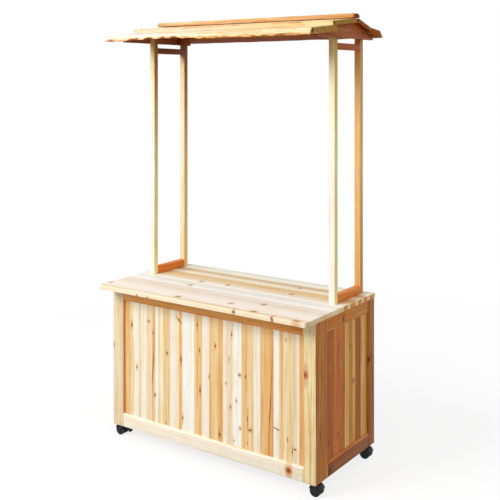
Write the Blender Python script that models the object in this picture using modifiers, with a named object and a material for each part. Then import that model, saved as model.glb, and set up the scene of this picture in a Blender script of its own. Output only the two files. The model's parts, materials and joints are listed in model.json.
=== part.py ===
"""A rolling timber potting bench: panelled cabinet, worktop, post frames, lapped gable roof, casters.

Metres, +Z up. X runs along the bench, -Y is the front, the floor is z = 0 and the origin is the
centre of the footprint. Run with: blender --background --python part.py
"""

import math

import bmesh
import bpy
from mathutils import Matrix, Vector

# Fits
GAP = 0.0003
EASED_EDGE = 0.0012
CUT_OVERSHOOT = 0.002
CUTTER_REACH = 0.1
COPLANAR_STEP = 0.0004
WELD_DISTANCE = 0.00001
SHARP_ANGLE = math.radians(30)

# Cabinet
CABINET_LENGTH = 1.190
CABINET_DEPTH = 0.550
CABINET_HEIGHT = 0.700
FRAME_THICKNESS = 0.024
FRONT_STILE_WIDTH = 0.066
RAIL_WIDTH = 0.066
END_FRONT_STILE_WIDTH = 0.083
END_REAR_STILE_WIDTH = 0.058
PANEL_THICKNESS = 0.012
PANEL_BACK_MARGIN = 0.002
PANEL_LIP = 0.008
FRAME_BEVEL_WIDTH = 0.009
FRAME_BEVEL_ARRIS = 0.002

# Inside the cabinet
FLOOR_THICKNESS = 0.018
SHELF_THICKNESS = 0.016
SHELF_HEIGHT = 0.320
SHELF_SETBACK = 0.012
CLEAT_SIZE = 0.020

# Worktop
WORKTOP_THICKNESS = 0.022
WORKTOP_END_OVERHANG = 0.008
WORKTOP_FRONT_OVERHANG = 0.095
WORKTOP_REAR_SETBACK = 0.005
WORKTOP_BOARD_WIDTH = 0.1125
WORKTOP_JOINT = 0.002

# Post frames
POST_WIDTH = 0.032
POST_DEPTH = 0.028
POST_INSET = 0.0465
POST_FRAME_SETBACK = 0.037
POST_FRAME_DEPTH = 0.275
SERVING_HEIGHT = 1.1597
FOOT_RAIL_HEIGHT = 0.037
HEAD_RAIL_HEIGHT = 0.030

# Roof: reaches are measured out from the post frames
ROOF_END_REACH = 0.0405
FRONT_EAVE_REACH = 0.299
REAR_EAVE_REACH = 0.137
FRONT_BUTT_REACH = 0.084
RIDGE_SHIFT = -0.002
EAVE_RISE = 0.020
ROOF_SLOPE = 0.105
REAR_BOARD_SLOPE = 0.312
SLAB_THICKNESS = 0.030
SLAB_WANE = 0.028
ROOF_BOARD_THICKNESS = 0.022
LAP = 0.036
CAP_WIDTH = 0.065
CAP_THICKNESS = 0.0215
CAP_BEARING = 0.007
REAR_SLAB_WIDTH = 0.1265
GABLE_THICKNESS = 0.018
GABLE_BASE_RISE = 0.003
GABLE_FRONT_INSET = 0.116
GABLE_REAR_INSET = 0.070

# Casters
CASTER_INSET_X = 0.045
CASTER_INSET_Y = 0.045
WHEEL_RADIUS = 0.025
WHEEL_WIDTH = 0.0165
WHEEL_STEPS = 48
WHEEL_EDGE = 0.0025
WHEEL_DISH = 0.0012
WHEEL_DISH_RADIUS = 0.020
WHEEL_HUB_RADIUS = 0.008
CASTER_TRAIL = 0.024
CASTER_HEAD = 0.010
PLATE_SIZE = 0.038
PLATE_THICKNESS = 0.0025
PLATE_EDGE = 0.0006
PIN_STEPS = 24
KING_PIN_RADIUS = 0.004
KING_PIN_LENGTH = 0.010
NECK_RADIUS = 0.010
NECK_STEPS = 32
NECK_LENGTH = 0.017
WEB_THICKNESS = 0.009
WEB_RADIUS = 0.011
WEB_ARM_HALF_WIDTH = 0.0077
WEB_ARM_BURIED = 0.004
WHEEL_SIDE_GAP = 0.0006
WHEEL_TOP_GAP = 0.0015
HOOD_WALL = 0.0025
HOOD_SKIRT = 0.006
AXLE_RADIUS = 0.003
AXLE_REACH = 0.012
RUNNING_CLEARANCE = 0.0003

# Brake pedals
PEDAL_PIVOT_X = 0.017
PEDAL_BOSS_RADIUS = 0.0042
PEDAL_BOSS_RELIEF = 0.001
PEDAL_WIDTH = 0.012
PEDAL_PAD_WIDTH = 0.020
PEDAL_PAD_ACROSS = (0.0095, 0.0190)
PEDAL_PAD_UP = (-0.0200, -0.0050)
PEDAL_THROW = math.radians(14)
TRUNNION_RADIUS = 0.002
TRUNNION_STEPS = 20
TRUNNION_RECESS = 0.0002
EAR_THICKNESS = 0.0027
EAR_RADIUS = 0.0045
BRAKE_SHOE_THICKNESS = 0.004
BRAKE_SHOE_START = 0.0085
BRAKE_SHOE_CLEARANCE = 0.0006

# Derived levels and lines
HALF_LENGTH = CABINET_LENGTH / 2
HALF_DEPTH = CABINET_DEPTH / 2
CABINET_BOTTOM = 2 * WHEEL_RADIUS + CASTER_HEAD
CABINET_TOP = CABINET_BOTTOM + CABINET_HEIGHT
PANEL_RECESS = FRAME_THICKNESS - PANEL_THICKNESS - PANEL_BACK_MARGIN
FRAME_BEVEL_DEPTH = PANEL_RECESS - FRAME_BEVEL_ARRIS
WORKTOP_HALF_LENGTH = HALF_LENGTH + WORKTOP_END_OVERHANG
WORKTOP_FRONT = -HALF_DEPTH - WORKTOP_FRONT_OVERHANG
WORKTOP_REAR = HALF_DEPTH - WORKTOP_REAR_SETBACK
WORKTOP_BOTTOM = CABINET_TOP + GAP
WORKTOP_TOP = WORKTOP_BOTTOM + WORKTOP_THICKNESS
POST_OUTER_X = WORKTOP_HALF_LENGTH - POST_INSET
POST_FRAME_REAR = WORKTOP_REAR - POST_FRAME_SETBACK
POST_FRAME_FRONT = POST_FRAME_REAR - POST_FRAME_DEPTH
HEAD_RAIL_BOTTOM = WORKTOP_TOP + SERVING_HEIGHT
EAVE_BOTTOM = HEAD_RAIL_BOTTOM + HEAD_RAIL_HEIGHT + EAVE_RISE
ROOF_LENGTH = 2 * (POST_OUTER_X + ROOF_END_REACH)
FRONT_EAVE = POST_FRAME_FRONT - FRONT_EAVE_REACH
REAR_EAVE = POST_FRAME_REAR + REAR_EAVE_REACH
FRONT_BUTT = POST_FRAME_FRONT - FRONT_BUTT_REACH
RIDGE = (POST_FRAME_FRONT + POST_FRAME_REAR) / 2 + RIDGE_SHIFT
GABLE_BASE = EAVE_BOTTOM + GABLE_BASE_RISE
GABLE_FRONT = FRONT_EAVE + GABLE_FRONT_INSET
GABLE_REAR = REAR_EAVE - GABLE_REAR_INSET
END_FRAME_FRONT = -HALF_DEPTH + FRAME_THICKNESS + GAP
INNER_X = HALF_LENGTH - FRAME_THICKNESS - GAP
CASTER_X = HALF_LENGTH - CASTER_INSET_X
CASTER_Y = HALF_DEPTH - CASTER_INSET_Y
AXLE_HEIGHT = WHEEL_RADIUS * math.cos(math.pi / WHEEL_STEPS)
PLATE_BOTTOM = CABINET_BOTTOM - GAP - PLATE_THICKNESS
NECK_BASE = CABINET_BOTTOM - NECK_LENGTH
PEDAL_PIVOT_HEIGHT = NECK_BASE
WHEEL_INNER_FACE = WEB_THICKNESS / 2 + WHEEL_SIDE_GAP
HOOD_WIDTH = 2 * (WHEEL_INNER_FACE + WHEEL_WIDTH)
PIVOT_TO_AXLE = math.hypot(PEDAL_PIVOT_X + CASTER_TRAIL, PEDAL_PIVOT_HEIGHT - AXLE_HEIGHT)
AXLE_BELOW_PIVOT = math.atan2(PEDAL_PIVOT_HEIGHT - AXLE_HEIGHT, PEDAL_PIVOT_X + CASTER_TRAIL)
BRAKE_SHOE_REACH = PIVOT_TO_AXLE - WHEEL_RADIUS - GAP


# Scene set-up


def clear_scene():
    for obj in list(bpy.data.objects):
        bpy.data.objects.remove(obj)


def new_collection(name):
    collection = bpy.data.collections.new(name)
    bpy.context.scene.collection.children.link(collection)
    return collection


clear_scene()
BENCH = new_collection("potting_bench")
CUTTERS = new_collection("cutters")


def new_material(name, colour, roughness, metallic=0.0):
    material = bpy.data.materials.new(name)
    material.use_nodes = True
    shader = material.node_tree.nodes["Principled BSDF"]
    shader.inputs["Base Color"].default_value = (*colour, 1.0)
    shader.inputs["Roughness"].default_value = roughness
    shader.inputs["Metallic"].default_value = metallic
    return material


FIR_PALE = ((0.90, 0.72, 0.47), 0.55)
FIR_WORKTOP = ((0.89, 0.77, 0.62), 0.55)
FIR_TAN = ((0.72, 0.44, 0.20), 0.60)
FIR_ROOF = ((0.80, 0.55, 0.30), 0.65)
BLACK_NYLON = ((0.012, 0.014, 0.015), 0.45)
ZINC_STEEL = ((0.60, 0.61, 0.62), 0.35)


def paint(obj, finish):
    """Gives the object its own material."""
    metallic = 1.0 if finish is ZINC_STEEL else 0.0
    obj.data.materials.clear()
    obj.data.materials.append(new_material(obj.name, *finish, metallic))


# Shapes


def link_mesh(name, mesh, collection, location=(0, 0, 0)):
    obj = bpy.data.objects.new(name, mesh)
    obj.location = location
    collection.objects.link(obj)
    return obj


def block(name, low, high, collection=BENCH):
    """A box between two corners, with its origin at its centre."""
    low = Vector(low)
    high = Vector(high)
    size = high - low
    bm = bmesh.new()
    bmesh.ops.create_cube(bm, size=1.0, matrix=Matrix.Diagonal((*size, 1.0)))
    mesh = bpy.data.meshes.new(name)
    bm.to_mesh(mesh)
    bm.free()
    return link_mesh(name, mesh, collection, (low + high) / 2)


def rod(name, centre, radius, length, steps, along="Z", collection=CUTTERS):
    """A capped cylinder along Y or Z, centred on a point."""
    turn = Matrix.Rotation(math.radians(90), 4, "X") if along == "Y" else Matrix.Identity(4)
    bm = bmesh.new()
    bmesh.ops.create_cone(
        bm,
        cap_ends=True,
        segments=steps,
        radius1=radius,
        radius2=radius,
        depth=length,
        matrix=turn,
    )
    mesh = bpy.data.meshes.new(name)
    bm.to_mesh(mesh)
    bm.free()
    return link_mesh(name, mesh, collection, centre)


def outline(name, points, half_width, collection=BENCH):
    """A flat outline of (across, up) points, given a thickness along X about x = 0."""
    curve = bpy.data.curves.new(name, "CURVE")
    curve.dimensions = "2D"
    curve.fill_mode = "BOTH"
    curve.extrude = half_width
    spline = curve.splines.new("POLY")
    spline.points.add(len(points) - 1)
    for point, (across, up) in zip(spline.points, points):
        point.co = (across, up, 0.0, 1.0)
    spline.use_cyclic_u = True
    obj = bpy.data.objects.new(name, curve)
    obj.rotation_euler = (math.pi / 2, 0.0, math.pi / 2)
    collection.objects.link(obj)
    return obj


def as_mesh(obj):
    """Replaces an object by a mesh object of its evaluated, welded shape."""
    bpy.context.view_layer.update()
    evaluated = obj.evaluated_get(bpy.context.evaluated_depsgraph_get())
    mesh = bpy.data.meshes.new_from_object(evaluated)
    bm = bmesh.new()
    bm.from_mesh(mesh)
    bmesh.ops.remove_doubles(bm, verts=bm.verts, dist=WELD_DISTANCE)
    bm.to_mesh(mesh)
    bm.free()
    name = obj.name
    matrix = obj.matrix_world.copy()
    collection = obj.users_collection[0]
    bpy.data.objects.remove(obj)
    solid = link_mesh(name, mesh, collection)
    solid.matrix_world = matrix
    return solid


def ease_edges(obj, width=EASED_EDGE):
    bevel = obj.modifiers.new("eased_edges", "BEVEL")
    bevel.width = width
    bevel.segments = 1
    bevel.limit_method = "ANGLE"
    return obj


def combine(obj, other, operation):
    """A live EXACT Boolean with a tool object, which is kept out of sight."""
    boolean = obj.modifiers.new(operation.lower(), "BOOLEAN")
    boolean.operation = operation
    boolean.object = other
    boolean.solver = "EXACT"
    other.hide_render = True
    other.display_type = "WIRE"
    return obj


def plank(name, low, high, finish):
    obj = ease_edges(block(name, low, high))
    paint(obj, finish)
    return obj


# Panelled frames: a point is placed by (along the frame, height, depth behind its face)


def front_point(along, height, depth):
    return Vector((along, -HALF_DEPTH + depth, height))


def right_end_point(along, height, depth):
    return Vector((HALF_LENGTH - depth, along, height))


def left_end_point(along, height, depth):
    return Vector((-HALF_LENGTH + depth, along, height))


def span(place, along, height, depth):
    """The low and high corners of a box given in a frame's own terms."""
    first = place(along[0], height[0], depth[0])
    last = place(along[1], height[1], depth[1])
    low = [min(a, b) for a, b in zip(first, last)]
    high = [max(a, b) for a, b in zip(first, last)]
    return low, high


def bevel_cutter(name, place, along, height):
    """A cut-off pyramid that bevels the frame's inner edges, mitred at the corners."""
    spread_at = FRAME_BEVEL_WIDTH / FRAME_BEVEL_DEPTH
    outside = -CUT_OVERSHOOT
    inside = FRAME_BEVEL_DEPTH + CUT_OVERSHOOT
    cutter = block(name, (-0.5, -0.5, -0.5), (0.5, 0.5, 0.5), CUTTERS)
    for vertex in cutter.data.vertices:
        depth = outside if vertex.co.y < 0 else inside
        spread = (FRAME_BEVEL_DEPTH - depth) * spread_at
        side = along[0] - spread if vertex.co.x < 0 else along[1] + spread
        level = height[0] - spread if vertex.co.z < 0 else height[1] + spread
        vertex.co = place(side, level, depth)
    bm = bmesh.new()
    bm.from_mesh(cutter.data)
    bmesh.ops.recalc_face_normals(bm, faces=bm.faces)
    bm.to_mesh(cutter.data)
    bm.free()
    return cutter


def panelled_frame(prefix, place, along, stile_widths, stile_names):
    """Two full-height stiles, two rails between them and a panel let in from behind."""
    bottom = CABINET_BOTTOM
    top = CABINET_TOP
    depth = (0.0, FRAME_THICKNESS)
    opening_along = (along[0] + stile_widths[0], along[1] - stile_widths[1])
    opening_height = (bottom + RAIL_WIDTH, top - RAIL_WIDTH)
    rail_along = (opening_along[0] + GAP, opening_along[1] - GAP)
    members = {
        stile_names[0]: ((along[0], opening_along[0]), (bottom, top)),
        stile_names[1]: ((opening_along[1], along[1]), (bottom, top)),
        "bottom_rail": (rail_along, (bottom, opening_height[0])),
        "top_rail": (rail_along, (opening_height[1], top)),
    }
    bevel = bevel_cutter(prefix + "_bevel_cutter", place, opening_along, opening_height)
    lip_along = (opening_along[0] - PANEL_LIP, opening_along[1] + PANEL_LIP)
    lip_height = (opening_height[0] - PANEL_LIP, opening_height[1] + PANEL_LIP)
    rebate_depth = (PANEL_RECESS, FRAME_THICKNESS + CUT_OVERSHOOT)
    rebate = block(
        prefix + "_rebate_cutter", *span(place, lip_along, lip_height, rebate_depth), CUTTERS
    )
    for name, (member_along, member_height) in members.items():
        low, high = span(place, member_along, member_height, depth)
        member = plank(prefix + "_" + name, low, high, FIR_PALE)
        combine(member, bevel, "DIFFERENCE")
        combine(member, rebate, "DIFFERENCE")
    panel_along = (lip_along[0] + GAP, lip_along[1] - GAP)
    panel_height = (lip_height[0] + GAP, lip_height[1] - GAP)
    panel_depth = (PANEL_RECESS + GAP, PANEL_RECESS + GAP + PANEL_THICKNESS)
    low, high = span(place, panel_along, panel_height, panel_depth)
    paint(block(prefix + "_panel", low, high), FIR_TAN)


def build_cabinet_faces():
    panelled_frame(
        "front",
        front_point,
        (-HALF_LENGTH, HALF_LENGTH),
        (FRONT_STILE_WIDTH, FRONT_STILE_WIDTH),
        ("left_stile", "right_stile"),
    )
    for prefix, place in (("left_end", left_end_point), ("right_end", right_end_point)):
        panelled_frame(
            prefix,
            place,
            (END_FRAME_FRONT, HALF_DEPTH),
            (END_FRONT_STILE_WIDTH, END_REAR_STILE_WIDTH),
            ("front_stile", "rear_stile"),
        )


def build_cabinet_inside():
    rail_front = HALF_DEPTH - FRAME_THICKNESS
    for name, bottom in (
        ("back_bottom_rail", CABINET_BOTTOM),
        ("back_top_rail", CABINET_TOP - RAIL_WIDTH),
    ):
        low = (-INNER_X, rail_front, bottom)
        high = (INNER_X, HALF_DEPTH, bottom + RAIL_WIDTH)
        plank(name, low, high, FIR_PALE)
    plank(
        "floor_board",
        (-INNER_X, END_FRAME_FRONT, CABINET_BOTTOM),
        (INNER_X, rail_front - GAP, CABINET_BOTTOM + FLOOR_THICKNESS),
        FIR_PALE,
    )
    cleat_bottom = CABINET_BOTTOM + SHELF_HEIGHT - GAP - CLEAT_SIZE
    for name, side in (("left_shelf_cleat", -1), ("right_shelf_cleat", 1)):
        ends = sorted((side * INNER_X, side * (INNER_X - CLEAT_SIZE)))
        low = (ends[0], END_FRAME_FRONT, cleat_bottom)
        high = (ends[1], HALF_DEPTH - SHELF_SETBACK, cleat_bottom + CLEAT_SIZE)
        plank(name, low, high, FIR_PALE)
    shelf_bottom = CABINET_BOTTOM + SHELF_HEIGHT
    plank(
        "shelf",
        (-INNER_X, END_FRAME_FRONT, shelf_bottom),
        (INNER_X, HALF_DEPTH - SHELF_SETBACK, shelf_bottom + SHELF_THICKNESS),
        FIR_PALE,
    )


def build_worktop():
    half = WORKTOP_HALF_LENGTH
    rear = WORKTOP_REAR
    for name in ("worktop_rear_board", "worktop_middle_board", "worktop_inner_board"):
        front = rear - WORKTOP_BOARD_WIDTH
        plank(name, (-half, front, WORKTOP_BOTTOM), (half, rear, WORKTOP_TOP), FIR_WORKTOP)
        rear = front - WORKTOP_JOINT
    low = (-half, WORKTOP_FRONT, WORKTOP_BOTTOM)
    plank("worktop_front_board", low, (half, rear, WORKTOP_TOP), FIR_WORKTOP)


# Roof lines, as heights at a distance across the bench


def front_slab_under(y):
    return EAVE_BOTTOM + ROOF_SLOPE * (y - FRONT_EAVE)


def front_slab_top(y):
    return front_slab_under(y) + SLAB_THICKNESS


def front_board_under(y):
    return front_slab_top(FRONT_BUTT) + GAP + ROOF_SLOPE * (y - FRONT_BUTT)


def front_board_top(y):
    return front_board_under(y) + ROOF_BOARD_THICKNESS


CAP_FRONT = RIDGE - CAP_WIDTH / 2
CAP_REAR = RIDGE + CAP_WIDTH / 2
CAP_UNDER = front_board_top(RIDGE) + GAP
REAR_BOARD_FRONT = CAP_REAR - CAP_BEARING
REAR_SLAB_FRONT = REAR_EAVE - REAR_SLAB_WIDTH


def rear_board_top(y):
    return CAP_UNDER - GAP - REAR_BOARD_SLOPE * (y - REAR_BOARD_FRONT)


def rear_board_under(y):
    return rear_board_top(y) - ROOF_BOARD_THICKNESS


def rear_slab_top(y):
    joint = rear_board_top(REAR_SLAB_FRONT - GAP)
    return joint - ROOF_SLOPE * (y - REAR_SLAB_FRONT)


def rear_slab_under(y):
    return rear_slab_top(y) - SLAB_THICKNESS


def sheet_of_board(name, front, rear, under, top, wane_front=0.0, wane_rear=0.0):
    """A roof board from its under and top lines; a wane slants an outer edge back at the top."""
    points = [
        (front, under(front)),
        (rear, under(rear)),
        (rear - wane_rear, top(rear - wane_rear)),
        (front + wane_front, top(front + wane_front)),
    ]
    board = outline(name, points, ROOF_LENGTH / 2)
    paint(board, FIR_ROOF)


def build_roof():
    slab_rear = FRONT_BUTT + LAP
    sheet_of_board(
        "roof_front_eave_slab",
        FRONT_EAVE,
        slab_rear,
        front_slab_under,
        front_slab_top,
        wane_front=SLAB_WANE,
    )
    sheet_of_board(
        "roof_front_board", FRONT_BUTT, RIDGE, front_board_under, front_board_top
    )
    sheet_of_board(
        "roof_rear_board",
        REAR_BOARD_FRONT,
        REAR_SLAB_FRONT - GAP,
        rear_board_under,
        rear_board_top,
    )
    sheet_of_board(
        "roof_rear_eave_slab",
        REAR_SLAB_FRONT,
        REAR_EAVE,
        rear_slab_under,
        rear_slab_top,
        wane_rear=SLAB_WANE,
    )
    plank(
        "roof_ridge_cap",
        (-ROOF_LENGTH / 2, CAP_FRONT, CAP_UNDER),
        (ROOF_LENGTH / 2, CAP_REAR, CAP_UNDER + CAP_THICKNESS),
        FIR_ROOF,
    )
    build_gables(slab_rear)


def build_gables(slab_rear):
    """Two boards scribed to the underside of the roof, fixed outside the posts."""
    points = [
        (GABLE_FRONT, GABLE_BASE),
        (GABLE_REAR, GABLE_BASE),
        (GABLE_REAR, rear_slab_under(GABLE_REAR) - GAP),
        (REAR_SLAB_FRONT - GAP, rear_slab_under(REAR_SLAB_FRONT) - GAP),
        (REAR_SLAB_FRONT - GAP, rear_board_under(REAR_SLAB_FRONT) - GAP),
        (REAR_BOARD_FRONT - GAP, rear_board_under(REAR_BOARD_FRONT) - GAP),
        (REAR_BOARD_FRONT - GAP, CAP_UNDER - GAP),
        (RIDGE + GAP, CAP_UNDER - GAP),
        (RIDGE + GAP, front_board_under(RIDGE) - GAP),
        (slab_rear + GAP, front_board_under(slab_rear) - GAP),
        (slab_rear + GAP, front_slab_under(slab_rear) - GAP),
        (GABLE_FRONT, front_slab_under(GABLE_FRONT) - GAP),
    ]
    for name, side in (("left_gable_board", -1), ("right_gable_board", 1)):
        gable = outline(name, points, GABLE_THICKNESS / 2)
        gable.location.x = side * (POST_OUTER_X + GAP + GABLE_THICKNESS / 2)
        paint(gable, FIR_TAN)


def sloped_post(name, low, high, under):
    """A post whose top is cut to the slope of the board above it."""
    post = block(name, low, high)
    centre = post.location
    for vertex in post.data.vertices:
        if vertex.co.z > 0:
            vertex.co.z = under(centre.y + vertex.co.y) - GAP - centre.z
    ease_edges(post)
    paint(post, FIR_PALE)


def build_post_frames():
    foot = WORKTOP_TOP + GAP
    front_rear_face = POST_FRAME_FRONT + POST_DEPTH
    rear_front_face = POST_FRAME_REAR - POST_DEPTH
    for side_name, side in (("left", -1), ("right", 1)):
        x0, x1 = sorted((side * POST_OUTER_X, side * (POST_OUTER_X - POST_WIDTH)))
        top = GABLE_BASE
        sloped_post(
            side_name + "_front_post",
            (x0, POST_FRAME_FRONT, foot),
            (x1, front_rear_face, top),
            front_board_under,
        )
        sloped_post(
            side_name + "_rear_post",
            (x0, rear_front_face, foot),
            (x1, POST_FRAME_REAR, top),
            rear_board_under,
        )
        for name, bottom, height in (
            ("_foot_rail", foot, FOOT_RAIL_HEIGHT),
            ("_head_rail", HEAD_RAIL_BOTTOM, HEAD_RAIL_HEIGHT),
        ):
            low = (x0, front_rear_face + GAP, bottom)
            high = (x1, rear_front_face - GAP, bottom + height)
            plank(side_name + name, low, high, FIR_PALE)


# Casters, made about their stem: the wheels trail towards -X and the pedal points to +X


def turned_wheel():
    """A wheel disc turned about Z, with a blind bore in its inner face (z = 0)."""
    bore = AXLE_RADIUS + RUNNING_CLEARANCE
    bore_end = AXLE_REACH - WHEEL_SIDE_GAP + RUNNING_CLEARANCE
    face = WHEEL_WIDTH - WHEEL_DISH
    profile = [
        (0.0, WHEEL_WIDTH),
        (WHEEL_HUB_RADIUS, WHEEL_WIDTH),
        (WHEEL_HUB_RADIUS + WHEEL_DISH, face),
        (WHEEL_DISH_RADIUS, face),
        (WHEEL_DISH_RADIUS + WHEEL_DISH, WHEEL_WIDTH),
        (WHEEL_RADIUS - WHEEL_EDGE, WHEEL_WIDTH),
        (WHEEL_RADIUS, WHEEL_WIDTH - WHEEL_EDGE),
        (WHEEL_RADIUS, WHEEL_EDGE),
        (WHEEL_RADIUS - WHEEL_EDGE, 0.0),
        (bore, 0.0),
        (bore, bore_end),
        (0.0, bore_end),
    ]
    bm = bmesh.new()
    vertices = [bm.verts.new((radius, 0.0, height)) for radius, height in profile]
    for first, second in zip(vertices, vertices[1:]):
        bm.edges.new((first, second))
    half_step = Matrix.Rotation(math.pi / WHEEL_STEPS, 4, "Z")
    bmesh.ops.transform(bm, matrix=half_step, verts=bm.verts)
    mesh = bpy.data.meshes.new("wheel_profile")
    bm.to_mesh(mesh)
    bm.free()
    wheel = link_mesh("wheel_profile", mesh, CUTTERS)
    screw = wheel.modifiers.new("turn", "SCREW")
    screw.steps = WHEEL_STEPS
    screw.render_steps = WHEEL_STEPS
    screw.use_merge_vertices = True
    screw.merge_threshold = WELD_DISTANCE
    return take_mesh(wheel, "caster_wheel")


def take_mesh(obj, name):
    """Bakes a tool object's shape into a mesh about the origin and removes the object."""
    solid = as_mesh(obj)
    mesh = solid.data
    mesh.transform(solid.matrix_world)
    mesh.name = name
    bpy.data.objects.remove(solid)
    mesh.set_sharp_from_angle(angle=SHARP_ANGLE)
    return mesh


def hood_mesh(braked):
    """The swivelling body: a hood over the wheels, a web between them, neck and axle."""
    axle = Vector((-CASTER_TRAIL, 0.0, AXLE_HEIGHT))
    space = WHEEL_RADIUS + WHEEL_TOP_GAP
    hood = rod("hood", axle, space + HOOD_WALL, HOOD_WIDTH, WHEEL_STEPS, "Y")
    skirt_low = (-CUTTER_REACH, -CUTTER_REACH, -CUTTER_REACH)
    skirt_high = (CUTTER_REACH, CUTTER_REACH, AXLE_HEIGHT + HOOD_SKIRT)
    combine(hood, block("skirt_cutter", skirt_low, skirt_high, CUTTERS), "DIFFERENCE")
    neck_top = PLATE_BOTTOM - GAP
    neck_centre = (0.0, 0.0, (NECK_BASE + neck_top) / 2)
    neck = rod("neck", neck_centre, NECK_RADIUS, neck_top - NECK_BASE, NECK_STEPS)
    combine(hood, neck, "UNION")
    for side in (-1, 1):
        middle = axle + Vector((0, side * (WEB_THICKNESS + CUTTER_REACH) / 2, 0))
        cutter = rod("wheel_space", middle, space, CUTTER_REACH, WHEEL_STEPS, "Y")
        combine(hood, cutter, "DIFFERENCE")
    web_thickness = WEB_THICKNESS - 2 * WHEEL_SIDE_GAP
    arm_top = AXLE_HEIGHT + HOOD_SKIRT + WEB_ARM_BURIED
    web_low = (axle.x - WEB_ARM_HALF_WIDTH, -web_thickness / 2, AXLE_HEIGHT)
    web_high = (axle.x + WEB_ARM_HALF_WIDTH, web_thickness / 2, arm_top)
    combine(hood, rod("web", axle, WEB_RADIUS, web_thickness, NECK_STEPS, "Y"), "UNION")
    combine(hood, block("web_arm", web_low, web_high, CUTTERS), "UNION")
    reach = WEB_THICKNESS / 2 + AXLE_REACH
    combine(hood, rod("axle", axle, AXLE_RADIUS, 2 * reach, PIN_STEPS, "Y"), "UNION")
    if braked:
        add_pedal_ears(hood)
    bore_depth = KING_PIN_LENGTH + RUNNING_CLEARANCE
    bore_centre = (0.0, 0.0, PLATE_BOTTOM - bore_depth / 2 + CUT_OVERSHOOT / 2)
    bore_radius = KING_PIN_RADIUS + RUNNING_CLEARANCE
    bore_length = bore_depth + CUT_OVERSHOOT
    bore = rod("king_pin_bore", bore_centre, bore_radius, bore_length, PIN_STEPS)
    combine(hood, bore, "DIFFERENCE")
    tools = [modifier.object for modifier in hood.modifiers]
    mesh = take_mesh(hood, "caster_hood_braked" if braked else "caster_hood")
    for tool in tools:
        bpy.data.objects.remove(tool)
    return mesh


def add_pedal_ears(hood):
    """Two ears in front of the neck, each with a hole for the pedal's trunnion."""
    inner = PEDAL_WIDTH / 2 + RUNNING_CLEARANCE
    pivot = Vector((PEDAL_PIVOT_X, 0.0, PEDAL_PIVOT_HEIGHT))
    for side in (-1, 1):
        centre = pivot + Vector((0.0, side * (inner + EAR_THICKNESS / 2), 0.0))
        ys = sorted((side * inner, side * (inner + EAR_THICKNESS)))
        arm_low = (0.0, ys[0], NECK_BASE + COPLANAR_STEP)
        arm_high = (PEDAL_PIVOT_X, ys[1], NECK_BASE + EAR_RADIUS)
        combine(hood, rod("ear", centre, EAR_RADIUS, EAR_THICKNESS, PIN_STEPS, "Y"), "UNION")
        combine(hood, block("ear_arm", arm_low, arm_high, CUTTERS), "UNION")
    cut_brake_window(hood)
    hole_radius = TRUNNION_RADIUS + RUNNING_CLEARANCE
    hole = rod("trunnion_hole", pivot, hole_radius, CUTTER_REACH, TRUNNION_STEPS, "Y")
    combine(hood, hole, "DIFFERENCE")
    relief_radius = PEDAL_BOSS_RADIUS + PEDAL_BOSS_RELIEF
    relief = rod("boss_relief", pivot, relief_radius, 2 * inner, PIN_STEPS, "Y")
    combine(hood, relief, "DIFFERENCE")


def cut_brake_window(hood):
    """An opening in the hood's front, as high as the brake shoe's swing, for the shoe."""
    half_width = PEDAL_PAD_WIDTH / 2 + BRAKE_SHOE_CLEARANCE
    low_angle = AXLE_BELOW_PIVOT + PEDAL_THROW
    half_shoe = BRAKE_SHOE_THICKNESS / 2
    top = PEDAL_PIVOT_HEIGHT - BRAKE_SHOE_START * math.sin(AXLE_BELOW_PIVOT) + half_shoe
    bottom = PEDAL_PIVOT_HEIGHT - BRAKE_SHOE_REACH * math.sin(low_angle) - 2 * half_shoe
    tip = BRAKE_SHOE_REACH * math.cos(AXLE_BELOW_PIVOT) + half_shoe
    low = (PEDAL_PIVOT_X - tip - BRAKE_SHOE_CLEARANCE, -half_width, bottom)
    high = (PEDAL_PIVOT_X - BRAKE_SHOE_START, half_width, top)
    combine(hood, block("brake_window", low, high, CUTTERS), "DIFFERENCE")


def brake_shoe_tools():
    """The pedal's inner end: a tail between the ears and a shoe that swings to the treads."""
    tail_width = PEDAL_WIDTH - 2 * RUNNING_CLEARANCE
    stretches = (
        ("brake_tail", 0.0, BRAKE_SHOE_REACH, tail_width),
        ("brake_shoe", BRAKE_SHOE_START, BRAKE_SHOE_REACH, PEDAL_PAD_WIDTH),
    )
    half = BRAKE_SHOE_THICKNESS / 2
    tools = []
    for name, start, end, width in stretches:
        low = (-end, -width / 2, -half)
        tool = block(name, low, (-start, width / 2, half), CUTTERS)
        turn = Matrix.Rotation(-(AXLE_BELOW_PIVOT + PEDAL_THROW), 4, "Y")
        tool.data.transform(turn @ Matrix.Translation(tool.location))
        tool.location = (0, 0, 0)
        tools.append(tool)
    return tools


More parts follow.
